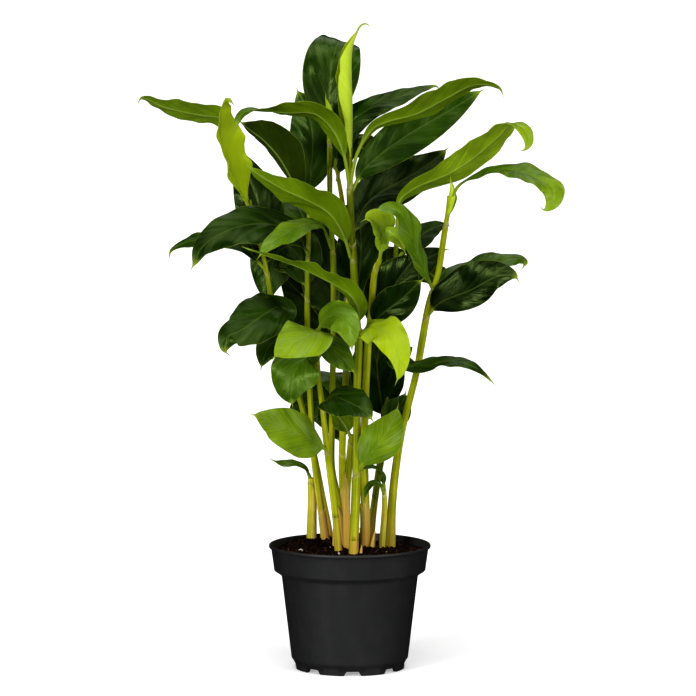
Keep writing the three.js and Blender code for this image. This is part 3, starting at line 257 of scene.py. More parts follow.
# Each leaf, in millimetres and degrees: its midrib's line, its full width, the ways that its upper
# side faces from base to tip, the fold at its midrib, the cupping of each half, the height of its
# rippled margin, the lengths of its stalk and its drip tip, where along it the blade is widest, how
# much wider its right half is, and its tone at base and tip.
ORDINARY_LEAF = dict(fold=8, cup=-16, wave=1.5, stalk=7, tail=5, belly=0.45, lean=0)
LEAVES = {
    "shoot_main": {
        "spear": dict(rib=[(0, 0, 392), (1, 0, 420), (1.4, 0, 452), (0.8, 0, 482), (1.4, 0, 495),
            (4.6, -0.8, 507), (7.6, -1.5, 514), (11, -2, 516.6), (14.6, -3, 516), (15.8, -3.5, 512)],
            face=[(-1, -0.3, 0), (-1, -0.35, 0), (-1, -0.2, -0.2)], wide=23, fold=10, cup=140, wave=0.4,
            stalk=6, tail=16, belly=0.62, tone=(0.91, 0.96)),
        "arch_left": dict(rib=[(0, 0, 385), (-5, -6, 414), (-14, -12, 434), (-28, -16, 446),
            (-48, -20, 447), (-66, -22, 448), (-80, -24, 448), (-88, -25, 442), (-90, -25, 431)],
            face=[(0, 0.5, 0.8), (0, 0.45, 0.9), (0, 0.4, 0.9), (0, -0.7, 0.7)], wide=29, fold=20,
            wave=0.8, stalk=26, belly=0.5, tone=(0.6, 0.5)),
        "olive_left": dict(rib=[(1, -1, 330), (-6, -12, 352), (-17, -22, 368), (-33, -30, 378),
            (-52, -36, 387), (-70, -40, 398), (-83, -43, 408)],
            face=[(0, 0.7, 0.7), (0, 0.6, 0.8), (0, 0.6, 0.8)], wide=34, fold=20, cup=-24, wave=1.6,
            stalk=16, tone=(0.58, 0.62)),
        "bright_right": dict(rib=[(0, 0, 388), (6, -4, 414), (18, -10, 434), (30, -15, 440),
            (52, -22, 446), (73, -28, 457), (97, -34, 469), (110, -37, 469), (118, -38, 466),
            (121, -39, 459)],
            face=[(0, 0.5, 0.8), (0, 0.5, 0.8), (0, 0.3, 0.9)], wide=31, fold=20, wave=0.5, stalk=28,
            belly=0.62, tone=(0.54, 0.6)),
        "dark_right": dict(rib=[(2, 0, 384), (10, 5, 399), (21, 7, 410), (37, 9, 422), (54, 11, 433),
            (80, 14, 448), (103, 16, 462), (109, 17, 465)],
            face=[(0.2, -1, 0.3), (0.2, -1, 0.2)], wide=33, fold=12, cup=-18, wave=0.8, stalk=9,
            tone=(0.2, 0.36)),
        "yellow": dict(rib=[(7, -5, 266), (13, -26, 277), (22, -48, 278), (31, -66, 274), (38, -77, 261),
            (39, -84, 248), (35, -89, 237)],
            face=[(0, -0.7, 0.7), (0.1, -1, 0.3), (0.2, -1, 0.1)], wide=30, wave=2, tone=(0.87, 0.9)),
        "edge_left": dict(rib=[(6, -4, 276), (7, -20, 290), (0, -34, 304), (-20, -46, 317),
            (-40, -54, 327), (-64, -60, 336), (-85, -64, 344)],
            face=[(0.3, 0.4, 0.8), (0, 0.2, 1), (0, 0.1, 1)], wide=26, fold=26, cup=-14,
            tone=(0.68, 0.52)),
        "round_low": dict(rib=[(5.5, -9, 160), (15, -14, 173), (26, -20, 188), (35, -24, 204),
            (39, -26, 217)],
            face=[(0.3, -1, 0.2), (0.2, -1, 0.1)], wide=32, tone=(0.66, 0.72)),
        "dark_upper": dict(rib=[(1, 0, 345), (6, 10, 360), (15, 22, 374), (30, 34, 384), (47, 40, 393),
            (62, 43, 402), (76, 46, 413), (81, 48, 418)],
            face=[(0, -1, 0.4), (0, -1, 0.4)], wide=38, belly=0.5, tone=(0.02, 0.08)),
    },
    "shoot_right_tall": {
        "top_right": dict(rib=[(77, -2, 358), (81, -5, 377), (87, -9, 389), (104, -15, 398),
            (122, -20, 402), (138, -26, 399), (152, -32, 393), (160, -36, 386), (159, -39, 376),
            (153, -40, 371), (149, -40, 375)],
            face=[(-0.3, -0.3, 1), (0, -0.35, 1), (0.4, -0.8, 0.8)], wide=27, fold=18, cup=-26, wave=1.6,
            stalk=28, belly=0.6, tone=(0.22, 0.85)),
        "big_right": dict(rib=[(62, 1, 284), (72, -7, 295), (96, -18, 306), (116, -26, 317),
            (130, -31, 318), (135, -33, 312)],
            face=[(0, -1, 0.4), (0, -1, 0.3)], wide=36, cup=-18, wave=1.2, lean=-0.2, tone=(0.04, 0.08)),
        "behind_right": dict(rib=[(67, 0, 306), (80, 9, 314), (100, 16, 320), (124, 20, 327),
            (136, 22, 328), (141, 22, 325), (137, 21, 318)],
            face=[(0, -0.6, 0.8), (0, -0.6, 0.8)], wide=28, fold=10, cup=-26, wave=2, tone=(0.3, 0.5)),
        "bright_left": dict(rib=[(67, 0, 304), (62, -14, 315), (53, -30, 337), (46, -40, 357),
            (38, -46, 370), (27, -51, 373), (17, -54, 369)],
            face=[(0.6, -0.7, 0.3), (0.5, -0.7, 0.5), (0, -0.6, 0.8)], wide=26, fold=12, cup=-20,
            belly=0.6, tone=(0.55, 0.62)),
        "new_tip": dict(rib=[(76.5, -2, 360), (78.2, -3, 370), (79.4, -4, 380), (80.4, -5, 389),
            (80, -6, 397)],
            face=[(1, -0.3, 0), (1, -0.3, 0)], wide=11, fold=12, cup=130, wave=0, stalk=2, belly=0.5,
            tone=(0.85, 0.95)),
    },
    "shoot_centre_right": {
        "lit_strip": dict(rib=[(23, -18, 328), (26, -24, 346), (22, -30, 358), (15, -34, 364), (8, -36, 361)],
            face=[(0.6, -0.8, 0.2), (0.3, -0.7, 0.6), (-0.2, -0.7, 0.7)], wide=28, fold=30, cup=-10,
            wave=2, stalk=14, belly=0.6, tone=(0.8, 0.86)),
        "grey": dict(rib=[(15, -1, 275), (26, -12, 287), (41, -19, 299), (54, -25, 312), (60, -28, 317)],
            face=[(0.3, -1, 0.3), (0.3, -1, 0.2)], wide=29, tone=(0.12, 0.16)),
        "young_flap": dict(rib=[(23.5, -19, 330), (27, -26, 346), (34, -31, 350), (41, -34, 343),
            (45, -35, 334)],
            face=[(0, -0.8, 0.6), (0.3, -0.9, 0.5)], wide=16, fold=14, cup=-10, wave=1, tone=(0.75, 0.86)),
    },
    "shoot_front_left": {
        "big_low": dict(rib=[(-18, -12, 177), (-26, -24, 184), (-36, -38, 191), (-50, -52, 199),
            (-64, -64, 207), (-74, -71, 212), (-79, -74, 213)],
            face=[(0, -1, 0.5), (0, -1, 0.35)], wide=37, tone=(0.68, 0.72)),
        "wide_dark": dict(rib=[(-21.5, -13, 210), (-16, -30, 222), (-3, -50, 221), (12, -64, 214),
            (20, -70, 205)],
            face=[(0, -0.7, 0.7), (0.1, -0.9, 0.6)], wide=36, cup=-20, tone=(0.26, 0.24)),
        "light_left": dict(rib=[(-26, -14, 268), (-27, -30, 275), (-34, -44, 272), (-47, -53, 265),
            (-58, -58, 258), (-62, -59, 253)],
            face=[(0, -0.7, 0.7), (-0.1, -1, 0.5)], wide=40, tone=(0.76, 0.8)),
        "bright_front": dict(rib=[(-26, -14, 272), (-19, -26, 284), (-9, -38, 287), (-2, -45, 280),
            (1, -49, 268), (2, -51, 258)],
            face=[(-0.2, -0.8, 0.6), (0, -1, 0.3), (0.1, -1, 0.1)], wide=26, tone=(0.66, 0.64)),
        "mid_left": dict(rib=[(-25, -13, 240), (-34, -19, 252), (-42, -23, 244), (-47, -25, 228),
            (-45, -26, 211)],
            face=[(-0.3, -0.7, 0.6), (-0.3, -1, 0.2)], wide=42, tone=(0.5, 0.46)),
        "small_front": dict(rib=[(-25, -14, 252), (-17, -24, 262), (-8, -31, 254), (2, -35, 244),
            (5, -36, 238)],
            face=[(0, -0.7, 0.7), (0, -0.9, 0.5)], wide=23, cup=-10, wave=1, tone=(0.5, 0.5)),
    },
    "shoot_upright": {
        "tall_dark": dict(rib=[(-17, 28, 420), (-17, 28, 440), (-17, 29, 460), (-15, 31, 478),
            (-12, 37, 494), (-8, 49, 502), (-3, 62, 498), (0, 71, 488)],
            face=[(0, -1, 0.1), (0, -1, 0.3), (0, -0.2, 1)], wide=46, cup=-14, wave=0.8, belly=0.5,
            tone=(0.2, 0.3)),
        "bright_mid": dict(rib=[(-14, 20, 335), (-23, 6, 356), (-35, -12, 358), (-48, -25, 353),
            (-64, -34, 343), (-74, -39, 331)],
            face=[(0, -0.6, 0.8), (0, -0.8, 0.6)], wide=20, fold=10, cup=-18, wave=1.2, belly=0.6,
            tone=(0.6, 0.66)),
        "upright_tip": dict(rib=[(-16, 28, 420), (-17, 24, 436), (-18.6, 21, 450), (-19.5, 19, 462)],
            face=[(1, -0.3, 0), (1, -0.3, 0)], wide=9, fold=12, cup=130, wave=0, stalk=2, belly=0.72,
            tone=(0.8, 0.92)),
    },
    "shoot_left_inner": {
        "high_dark": dict(rib=[(-33, 32, 376), (-31, 41, 400), (-30, 50, 424), (-35, 58, 445),
            (-41, 64, 459), (-44, 68, 465)],
            face=[(-0.1, -1, 0.3), (-0.2, -1, 0.3)], wide=40, cup=-14, wave=1, tone=(0.3, 0.3)),
        "olive_high": dict(rib=[(-33, 30, 366), (-42, 24, 382), (-48, 19, 395), (-56, 16, 409),
            (-68, 13, 423), (-82, 11, 434), (-90, 10, 441)],
            face=[(0.2, 0.8, 0.5), (0.2, 0.7, 0.6)], wide=29, fold=14, cup=-14, wave=1, belly=0.62,
            lean=-0.62, tone=(0.26, 0.3)),
        "big_left": dict(rib=[(-33, 25, 330), (-42, 8, 348), (-62, -4, 357), (-84, -12, 357),
            (-104, -18, 350), (-118, -22, 339), (-123, -24, 328), (-127, -25, 321)],
            face=[(0, -0.6, 0.8), (0, -0.8, 0.6), (-0.3, -0.9, 0.4)], wide=36, fold=10, cup=-22, wave=1.2,
            tone=(0.2, 0.2)),
        "dark_side": dict(rib=[(-34, 23, 300), (-40, 31, 327), (-50, 36, 337), (-60, 37, 328),
            (-66, 36, 308), (-66, 34, 288)],
            face=[(0, -0.9, 0.5), (-0.2, -1, 0.3)], wide=45, wave=1.8, tone=(0.2, 0.24)),
        "away_left": dict(rib=[(-33, 28, 343), (-41, 48, 366), (-54, 66, 372), (-70, 76, 362),
            (-80, 83, 344)],
            face=[(0, -0.4, 0.9), (-0.2, 0.6, 0.9), (-0.2, 1, 0.3)], wide=38, fold=10, cup=-18, wave=2,
            tone=(0.3, 0.4)),
    },
    "shoot_left_outer": {
        "light_upright": dict(rib=[(-80, 13, 368), (-88, 6, 387), (-95, 0, 402), (-101, -4, 417),
            (-103, -7, 436), (-101, -9, 450), (-96, -11, 456), (-90, -13, 451)],
            face=[(0.8, -0.6, 0), (0.8, -0.6, 0), (0.8, -0.6, 0.2)], wide=38, fold=42, cup=-10, wave=3,
            belly=0.5, tone=(0.9, 0.92)),
        "far_left": dict(rib=[(-79, 13, 362), (-88, 18, 402), (-94, 18, 430), (-103, 16, 441),
            (-120, 14, 444), (-140, 14, 448), (-153, 14, 452), (-162, 14, 457), (-167, 14, 457),
            (-170, 14, 451)],
            face=[(0.5, 0.8, 0.3), (0, 0.7, 0.7), (0, 0.5, 0.8)], wide=25, fold=16, wave=1.2, stalk=60,
            belly=0.5, tone=(0.7, 0.55)),
        "dark_behind": dict(rib=[(-68, 16, 318), (-68, 27, 345), (-72, 37, 364), (-79, 44, 385),
            (-87, 50, 404), (-93, 54, 420)],
            face=[(0, -1, 0.2), (0, -1, 0.3)], wide=38, cup=-14, tone=(0.06, 0.08)),
        "low_tip": dict(rib=[(-68, 16, 320), (-88, 22, 340), (-108, 26, 344), (-122, 28, 343),
            (-134, 30, 340), (-144, 31, 334), (-146, 31, 326)],
            face=[(0, -0.5, 0.8), (0, -0.6, 0.8)], wide=19, fold=10, cup=-20, tone=(0.24, 0.3)),
        "glossy_low": dict(rib=[(-55, 24, 268), (-56, 4, 290), (-64, -10, 289), (-76, -20, 281),
            (-88, -26, 274), (-96, -28, 270), (-99, -29, 259), (-94, -30, 254)],
            face=[(0, -0.6, 0.8), (0, -1, 0.6), (-0.2, -1, 0.4)], wide=42, cup=-20, wave=2,
            tone=(0.26, 0.24)),
        "hanging": dict(rib=[(-50, 27, 250), (-60, 16, 262), (-68, 8, 252), (-72, 4, 238)],
            face=[(-0.2, -0.8, 0.6), (-0.3, -1, 0.2)], wide=22, cup=-12, wave=1, tone=(0.26, 0.26)),
        "away_outer": dict(rib=[(-50, 27, 248), (-58, 42, 264), (-61, 56, 267), (-58, 70, 256),
            (-54, 79, 236)],
            face=[(0, -0.4, 0.9), (0.1, 0.6, 0.9), (0.2, 1, 0.3)], wide=33, fold=10, cup=-18, wave=2,
            tone=(0.3, 0.36)),
    },
    "shoot_back_right": {
        "bright_high": dict(rib=[(38, 10, 354), (40, 8, 376), (52, 8, 386), (78, 8, 397), (98, 2, 410),
            (117, -8, 427), (128, -16, 438), (137, -23, 434), (141, -28, 424), (138, -30, 418),
            (132, -31, 418)],
            face=[(0, 0.7, 0.7), (0, 0.6, 0.8), (0.3, -0.7, 0.7)], wide=32, fold=16, cup=-20, wave=0.5,
            stalk=16, belly=0.5, tone=(0.6, 0.84)),
        "small_dark": dict(rib=[(37, 16, 328), (54, 22, 344), (66, 26, 352), (74, 27, 355), (79, 28, 355),
            (82, 28, 352)],
            face=[(0, -0.8, 0.6), (0, -0.7, 0.7)], wide=22, wave=1, tone=(0.14, 0.14)),
        "lower_dark": dict(rib=[(36, 19, 305), (54, 34, 322), (68, 40, 330), (77, 42, 334),
            (82, 43, 334)],
            face=[(0, -0.9, 0.5), (0, -0.8, 0.6)], wide=26, wave=1, tone=(0.14, 0.14)),
        "very_dark": dict(rib=[(34, 22, 262), (30, 14, 284), (34, 10, 304), (44, 8, 320), (58, 8, 336)],
            face=[(0, -1, 0.2), (0, -1, 0.2)], wide=44, fold=6, cup=-12, tone=(0.06, 0.1)),
        "away_right": dict(rib=[(35, 21, 288), (46, 36, 312), (58, 52, 318), (70, 66, 309),
            (78, 76, 290)],
            face=[(0, -0.4, 0.9), (0.2, 0.6, 0.9), (0.2, 1, 0.3)], wide=34, fold=10, cup=-18, wave=2,
            tone=(0.3, 0.4)),
        "narrow_dark": dict(rib=[(28, 29, 186), (35, 22, 200), (42, 20, 212), (46, 19, 224)],
            face=[(0.2, -1, 0.2), (0.2, -1, 0.2)], wide=24, cup=-10, wave=1, tone=(0.3, 0.3)),
        "low_dark": dict(rib=[(28, 29, 195), (24, 22, 222), (22, 17, 246), (27, 14, 266), (36, 12, 280)],
            face=[(0, -1, 0.2), (0, -1, 0.2)], wide=44, fold=6, cup=-12, tone=(0.14, 0.14)),
        "narrow_right": dict(rib=[(33, 22, 243), (37, 9, 248), (45, -6, 244), (60, -14, 245),
            (76, -20, 249), (92, -26, 248), (104, -29, 242), (116, -32, 231)],
            face=[(0, -0.4, 0.9), (0, -0.4, 0.9)], wide=23, fold=14, cup=-20, wave=0.8, stalk=3,
            belly=0.36, tone=(0.3, 0.22)),
        "away_low_right": dict(rib=[(31, 26, 225), (34, 42, 248), (31, 58, 255), (25, 72, 246),
            (21, 82, 226)],
            face=[(0, -0.4, 0.9), (-0.1, 0.6, 0.9), (-0.2, 1, 0.3)], wide=36, fold=10, cup=-18, wave=2,
            tone=(0.34, 0.4)),
    },
    "shoot_back": {
        "dark_top_right": dict(rib=[(-12, 38, 400), (-9, 36, 418), (2, 35, 438), (20, 34, 450),
            (44, 36, 459), (62, 38, 465), (70, 38, 466), (73, 38, 461)],
            face=[(0, -0.8, 0.6), (0, -0.6, 0.8)], wide=25, cup=-18, wave=0.8, belly=0.36,
            tone=(0.22, 0.26)),
        "away_high": dict(rib=[(-10, 39, 390), (-6, 54, 416), (2, 70, 424), (12, 84, 412), (17, 91, 394)],
            face=[(0, -0.4, 0.9), (0.1, 0.6, 0.9), (0.1, 1, 0.3)], wide=32, fold=10, cup=-18, wave=2,
            tone=(0.3, 0.36)),
        "away_middle": dict(rib=[(-1, 40, 300), (10, 56, 324), (22, 70, 330), (34, 81, 318),
            (41, 87, 296)],
            face=[(0, -0.4, 0.9), (0.2, 0.6, 0.9), (0.2, 1, 0.3)], wide=42, fold=10, cup=-18, wave=2,
            tone=(0.3, 0.36)),
        "low_left": dict(rib=[(-3, 38, 240), (-18, 47, 268), (-34, 54, 290), (-50, 60, 306),
            (-61, 64, 314)],
            face=[(0, -1, 0.3), (0, -1, 0.4)], wide=42, fold=6, cup=-14, tone=(0.16, 0.16)),
        "low_back": dict(rib=[(-6, 38, 172), (-12, 44, 196), (-22, 47, 209), (-34, 46, 208),
            (-46, 43, 199), (-51, 42, 190)],
            face=[(0, -0.9, 0.5), (-0.1, -1, 0.3)], wide=32, tone=(0.2, 0.2)),
        "dark_left": dict(rib=[(-2, 39, 262), (-12, 46, 292), (-20, 50, 318), (-26, 52, 344),
            (-30, 54, 364)],
            face=[(0, -1, 0.3), (0, -1, 0.3)], wide=44, fold=6, cup=-14, tone=(0.14, 0.14)),
        "dark_centre": dict(rib=[(-1, 40, 285), (6, 35, 306), (9, 32, 332), (8, 31, 358), (3, 33, 380)],
            face=[(0, -1, 0.1), (0, -1, 0.1)], wide=42, fold=6, cup=-14, tone=(0.14, 0.14)),
        "away_upper": dict(rib=[(-3, 40, 350), (-6, 56, 366), (-14, 72, 366), (-24, 84, 352),
            (-30, 90, 330)],
            face=[(0, -0.4, 0.9), (-0.2, 0.6, 0.9), (-0.2, 1, 0.3)], wide=35, fold=10, cup=-18, wave=2,
            tone=(0.3, 0.36)),
        "away_foot": dict(rib=[(-5, 38, 205), (-8, 54, 226), (-13, 68, 231), (-20, 79, 219),
            (-24, 85, 198)],
            face=[(0, -0.4, 0.9), (-0.2, 0.6, 0.9), (-0.2, 1, 0.3)], wide=36, fold=10, cup=-18, wave=2,
            tone=(0.4, 0.44)),
    },
    "shoot_low_centre": {
        "olive_low": dict(rib=[(1.5, 3, 184), (-4, 2, 196), (-10, 2, 203), (-19, 1, 209)],
            face=[(0, 0.8, 0.5), (0, 0.7, 0.6)], wide=20, fold=14, cup=-12, wave=1, tone=(0.5, 0.5)),
    },
    "shoot_short_left": {
        "small_olive": dict(rib=[(-31, 34, 146), (-36, 30, 157), (-45, 26, 161), (-55, 23, 162),
            (-66, 20, 167)],
            face=[(0, -0.5, 0.9), (0, -0.3, 0.9)], wide=13, fold=14, cup=-10, wave=0.8, tone=(0.54, 0.6)),
    },
    "shoot_short_right": {
        "curled": dict(rib=[(28, 13, 140), (26, 10, 154), (20, 6, 161), (12, 3, 161), (7, 2, 156)],
            face=[(0, -0.5, 0.8), (0, -0.4, 0.9)], wide=9, fold=14, cup=-10, wave=0.5, tone=(0.42, 0.4)),
        "drooping": dict(rib=[(28, 13, 138), (24, 9, 147), (18, 6, 148), (13, 5, 142), (12, 4, 131)],
            face=[(0, -0.5, 0.8), (-0.4, -0.8, 0.2)], wide=7, fold=14, cup=-10, wave=0.5,
            tone=(0.55, 0.5)),
    },
}

# The two finishes of a shoot, in the order that its mesh lists them.
LEAF_FINISH, STEM_FINISH = 0, 1


def unit(vectors):
    """Each vector divided by its own length."""
    return vectors / np.linalg.norm(vectors, axis=-1, keepdims=True)


def blend(start, end, share):
    """Start at share 0, end at share 1, and in a straight line between."""
    return start + (end - start) * share


def smooth(low, high, value):
    """0 up to low, 1 from high on, and 3u^2 - 2u^3 between them."""
    u = np.clip((value - low) / (high - low), 0, 1)
    return u * u * (3 - 2 * u)


def hump(distance, reach):
    """1 at distance 0, falling off on both sides as exp(-(distance / reach)^2)."""
    return np.exp(-(distance / reach) ** 2)


def sway(distance, length, start):
    """A sine wave of some length along a distance."""
    return np.sin(2 * np.pi * distance / length + start)


def full_turn(count):
    """The angles of a whole turn, as one row."""
    return np.linspace(0, 2 * np.pi, count, endpoint=False)[None, :]


def smooth_line(points, shares):
    """Places, directions and length of the smooth line through some points.

    Between two points the line is a cubic. Its end slopes are those of a centripetal Catmull-Rom
    line: each span takes the square root of its length as its time. Length is added up over short
    steps, and `shares` are shares of it.
    """
    p = np.asarray(points, float)
    p = np.vstack([2 * p[0] - p[1], p, 2 * p[-1] - p[-2]])
    gap = np.sqrt(np.linalg.norm(np.diff(p, axis=0), axis=1))[:, None]
    rate = np.diff(p, axis=0) / gap
    turn = (p[2:] - p[:-2]) / (gap[:-1] + gap[1:])
    slope = rate[:-1] - turn + rate[1:]
    start, end = p[1:-2, None], p[2:-1, None]
    leave = (slope[:-1] * gap[1:-1])[:, None]
    arrive = (slope[1:] * gap[1:-1])[:, None]
    u = np.linspace(0, 1, SPAN_STEPS, endpoint=False)[None, :, None]
    dense = (start + leave * u + (3 * (end - start) - 2 * leave - arrive) * u ** 2
             + (2 * (start - end) + leave + arrive) * u ** 3)
    dense = np.vstack([dense.reshape(-1, 3), p[-2]])
    run = np.concatenate([[0], np.cumsum(np.linalg.norm(np.diff(dense, axis=0), axis=1))])
    place = np.stack([np.interp(shares * run[-1], run, dense[:, k]) for k in range(3)], axis=1)
    return place, unit(np.gradient(place, shares, axis=0)), run[-1]


def ring_faces(rows, around):
    """Quads between neighbouring closed rings, and strips of quads that close both ends."""
    index = np.arange(rows * around).reshape(rows, around)
    ahead = np.roll(index, -1, axis=1)
    walls = np.stack([index[:-1], ahead[:-1], ahead[1:], index[1:]], axis=-1).reshape(-1, 4)
    near = np.arange(around // 2 - 1)
    far = around - 1 - near
    lid = np.stack([near, far, far - 1, near + 1], axis=1)
    return np.vstack([walls, index[0][lid], index[-1][lid[:, ::-1]]])


def marks(shape, *values):
    """Three numbers for each point of a grid, from numbers or arrays."""
    return np.stack([np.broadcast_to(value, shape) for value in values], axis=-1)


class Skin:
    """Surfaces gathered into one mesh: points in millimetres, quads, and what the finishes read.

    `place` and `kind` are three numbers a point, which the piece's materials read by those names.
    """

    def __init__(self):
        self.points, self.faces, self.place, self.kind, self.finish = [], [], [], [], []
        self.count = 0

    def add(self, rings, place, kind, finish=0):
        """Adds closed rings of points, one row a ring, with both ends closed."""
        faces = ring_faces(*rings.shape[:2])
        self.add_quads(rings.reshape(-1, 3), faces, place.reshape(-1, 3), kind.reshape(-1, 3), finish)

    def add_quads(self, points, faces, place, kind, finish=0):
        """Adds any points and faces."""
        self.points.append(points)
        self.faces.append(faces + self.count)
        self.place.append(place)
        self.kind.append(kind)
        self.finish.append(np.full(len(faces), finish))
        self.count += len(points)

    def piece(self, name, finishes, node, slot):
        """The mesh as a piece that stands for a node of the frame."""
        mesh = bpy.data.meshes.new(name)
        mesh.from_pydata(np.vstack(self.points) * MM, [], np.vstack(self.faces))
        for title, values in (("place", self.place), ("kind", self.kind)):
            layer = mesh.attributes.new(title, "FLOAT_VECTOR", "POINT")
            layer.data.foreach_set("vector", np.vstack(values).astype(np.float32).ravel())
        for finish in finishes:
            mesh.materials.append(finish)
        mesh.polygons.foreach_set("material_index", np.concatenate(self.finish).astype(np.int32))
        mesh.shade_smooth()
        mesh.update()
        piece = bpy.data.objects.new(name, mesh)
        bpy.context.scene.collection.objects.link(piece)
        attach(piece, "root")
        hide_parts(node)
        return piece


def fullness(share, belly):
    """How full a blade is: sin(pi x^p)^0.8, with p so that it is fullest at share `belly`."""
    inside = np.clip(share, 0, 1) ** (math.log(0.5) / math.log(belly))
    return np.clip(np.sin(np.pi * inside), 0, 1) ** FULLNESS


def facing(face, shares):
    """The way a blade's upper side looks: straight lines between the listed ways."""
    spots = np.linspace(0, 1, len(face))
    return np.stack([np.interp(shares, spots, column) for column in np.transpose(face)], axis=1)


def waves(wave, run, across, draw):
    """Heights over a full blade, with s from -1 at its left margin to 1 at its right one.

    A ripple and smaller ones on it grow towards the margins as wave s^2 and s^4. Pleats and swells
    follow the veins, which sweep back from the midrib, and grow as the root of |s|.
    """
    s = COLUMNS[None, :]
    sign = np.sign(s)
    start = draw.uniform(0, 2 * np.pi, 4)
    ripple = sway(run, RIPPLE_LENGTH, OUT_OF_STEP["ripple"] * sign)
    starts = [start[0] + OUT_OF_STEP["small"] * sign, start[1] * sign]
    small = sum(sway(run, length, begin) for length, begin in zip(SMALL_RIPPLES["lengths"], starts))
    margin = wave * s ** 2 * (ripple + SMALL_RIPPLES["share"] * s ** 2 * small)
    vein = run - VEIN_SWEEP * np.abs(across)
    starts = [start[2], start[3], start[0] + OUT_OF_STEP["swell"] * sign, start[1]]
    pleats = sum(height * sway(vein, length, begin) for length, height, begin in zip(
        PLEATS["lengths"] + SWELLS["lengths"], PLEATS["heights"] + SWELLS["heights"], starts))
    return margin + pleats * np.sqrt(np.abs(s))


def sheet(leaf, line, run, across, full, draw):
    """The middle surface of a blade. A point that lies |a| from the midrib is raised by |a| times
    the sine of (fold + cup |s| / 2) degrees, times the root of the fullness, and by the waves."""
    shares, centre, along = line
    s = np.abs(COLUMNS[None, :])
    side = unit(np.cross(along, facing(leaf["face"], shares)))
    up = np.cross(side, along)
    slope = np.radians(leaf["fold"] + leaf["cup"] * s / 2) * np.sqrt(full)
    rise = np.abs(across) * np.sin(slope) + full * waves(leaf["wave"], run, across, draw)
    return (centre[:, None] + side[:, None] * (across * np.cos(slope))[..., None]
            + up[:, None] * rise[..., None])


def blade_sides(middle, shares, across, full, strap, taper):
    """The upper and lower surface round a blade's middle surface. It is thickest at the midrib,
    which is a keel below and a groove above, thins as s^4 towards the margins, and becomes a nearly
    round stalk where the blade isn't full."""
    s = COLUMNS[None, :]
    normal = unit(np.cross(np.gradient(middle, axis=1), np.gradient(middle, axis=0)))
    flat = smooth(*FLAT_FROM, full)
    stalk = STALK_SHELL * taper + STALK_ROUNDNESS * strap * np.sqrt(np.clip(1 - s ** 2, 0, 1))
    thick = blend(stalk, BLADE / 2 * (1 - MARGIN_THINNING * s ** 4), flat)
    keel = blend(KEEL["at_foot"], KEEL["at_tip"], shares)[:, None] * hump(across, KEEL["reach"])
    groove = GROOVE["depth"] * hump(across, GROOVE["reach"]) * flat
    upper = middle + normal * (thick - groove)[..., None]
    lower = middle - normal * (thick + keel * flat * taper)[..., None]
    return upper, lower


def blade(skin, leaf, draw):
    """A leaf: a thin folded, cupped and rippled sheet along its midrib, from stalk to drip tip, at
    least as wide as its strap-like stalk and tip."""
    shares = np.linspace(0, 1, LEAF_ROWS)
    centre, along, length = smooth_line(leaf["rib"], shares)
    run = (shares * length)[:, None]
    s = COLUMNS[None, :]
    full = fullness((run - leaf["stalk"]) / (length - leaf["stalk"] - leaf["tail"]), leaf["belly"])
    taper = 1 - TIP["narrowing"] * smooth(length - TIP["length"], length, run)
    strap = blend(STALK_WIDTH, TAIL_WIDTH, shares)[:, None] / 2 * taper
    across = s * np.maximum(strap, leaf["wide"] * full * (1 + leaf["lean"] * np.sign(s)) / 2)
    middle = sheet(leaf, (shares, centre, along), run, across, full, draw)
    upper, lower = blade_sides(middle, shares, across, full, strap, taper)
    shape = upper.shape[:2]
    place = marks(shape, across, run, np.abs(s))
    shade = blend(*leaf["tone"], shares)[:, None]
    both = [(upper, lower), (place, place), (marks(shape, shade, 0, full), marks(shape, shade, 1, full))]
    skin.add(*(np.concatenate([top, under[:, ::-1]], axis=1) for top, under in both), LEAF_FINISH)


def tube_frame(points, shares):
    """Places along a line with two directions square to it: towards +X, and their cross product."""
    centre, along, length = smooth_line(points, shares)
    east = np.array([1.0, 0, 0])
    side = unit(east - along * (along @ east)[:, None])
    return centre, along, side, np.cross(along, side), length


def stem_radius(radius, shares, height):
    """A stem's radius: straight from foot to top, swollen just above the soil."""
    swell = hump(height - SOIL_LEVEL - FOOT_SWELL["above_soil"], FOOT_SWELL["spread"])
    return blend(*radius, shares) * (1 + FOOT_SWELL["share"] * swell)


def stem_tone(tone, height):
    """A stem's tone: the foot's at the soil, and nearer the top's as exp(-height / 85)."""
    return blend(tone[1], tone[0], np.exp(-(height - SOIL_LEVEL) / FOOT_TONE_REACH))[:, None]


def wrap(skin, centre, side, front, size, run, kind):
    """Adds round rings: centre + size (side cos turn + front sin turn)."""
    turn = full_turn(STEM_SIDES)
    wide, deep = size * np.cos(turn), size * np.sin(turn)
    rings = centre + side[:, None] * wide[..., None] + front[:, None] * deep[..., None]
    skin.add(rings, marks(size.shape, wide, deep, run[:, None]), marks(size.shape, *kind), STEM_FINISH)


def stem(skin, form):
    """A round stem along its line, slightly ribbed along its length, with a blush at its foot."""
    shares = np.linspace(0, 1, STEM_ROWS)
    centre, _, side, front, length = tube_frame(form["line"], shares)
    height = centre[:, 2]
    ribs = np.sin(STEM_RIBS["count"] * full_turn(STEM_SIDES) + shares[:, None] * STEM_RIBS["twist"])
    size = stem_radius(form["radius"], shares, height)[:, None] * (1 + STEM_RIBS["depth"] * ribs)
    blush = form["blush"] * hump(height - SOIL_LEVEL, FOOT_BLUSH_REACH)[:, None]
    kind = stem_tone(form["tone"], height), blush, 0
    wrap(skin, centre[:, None], side, front, size, shares * length, kind)


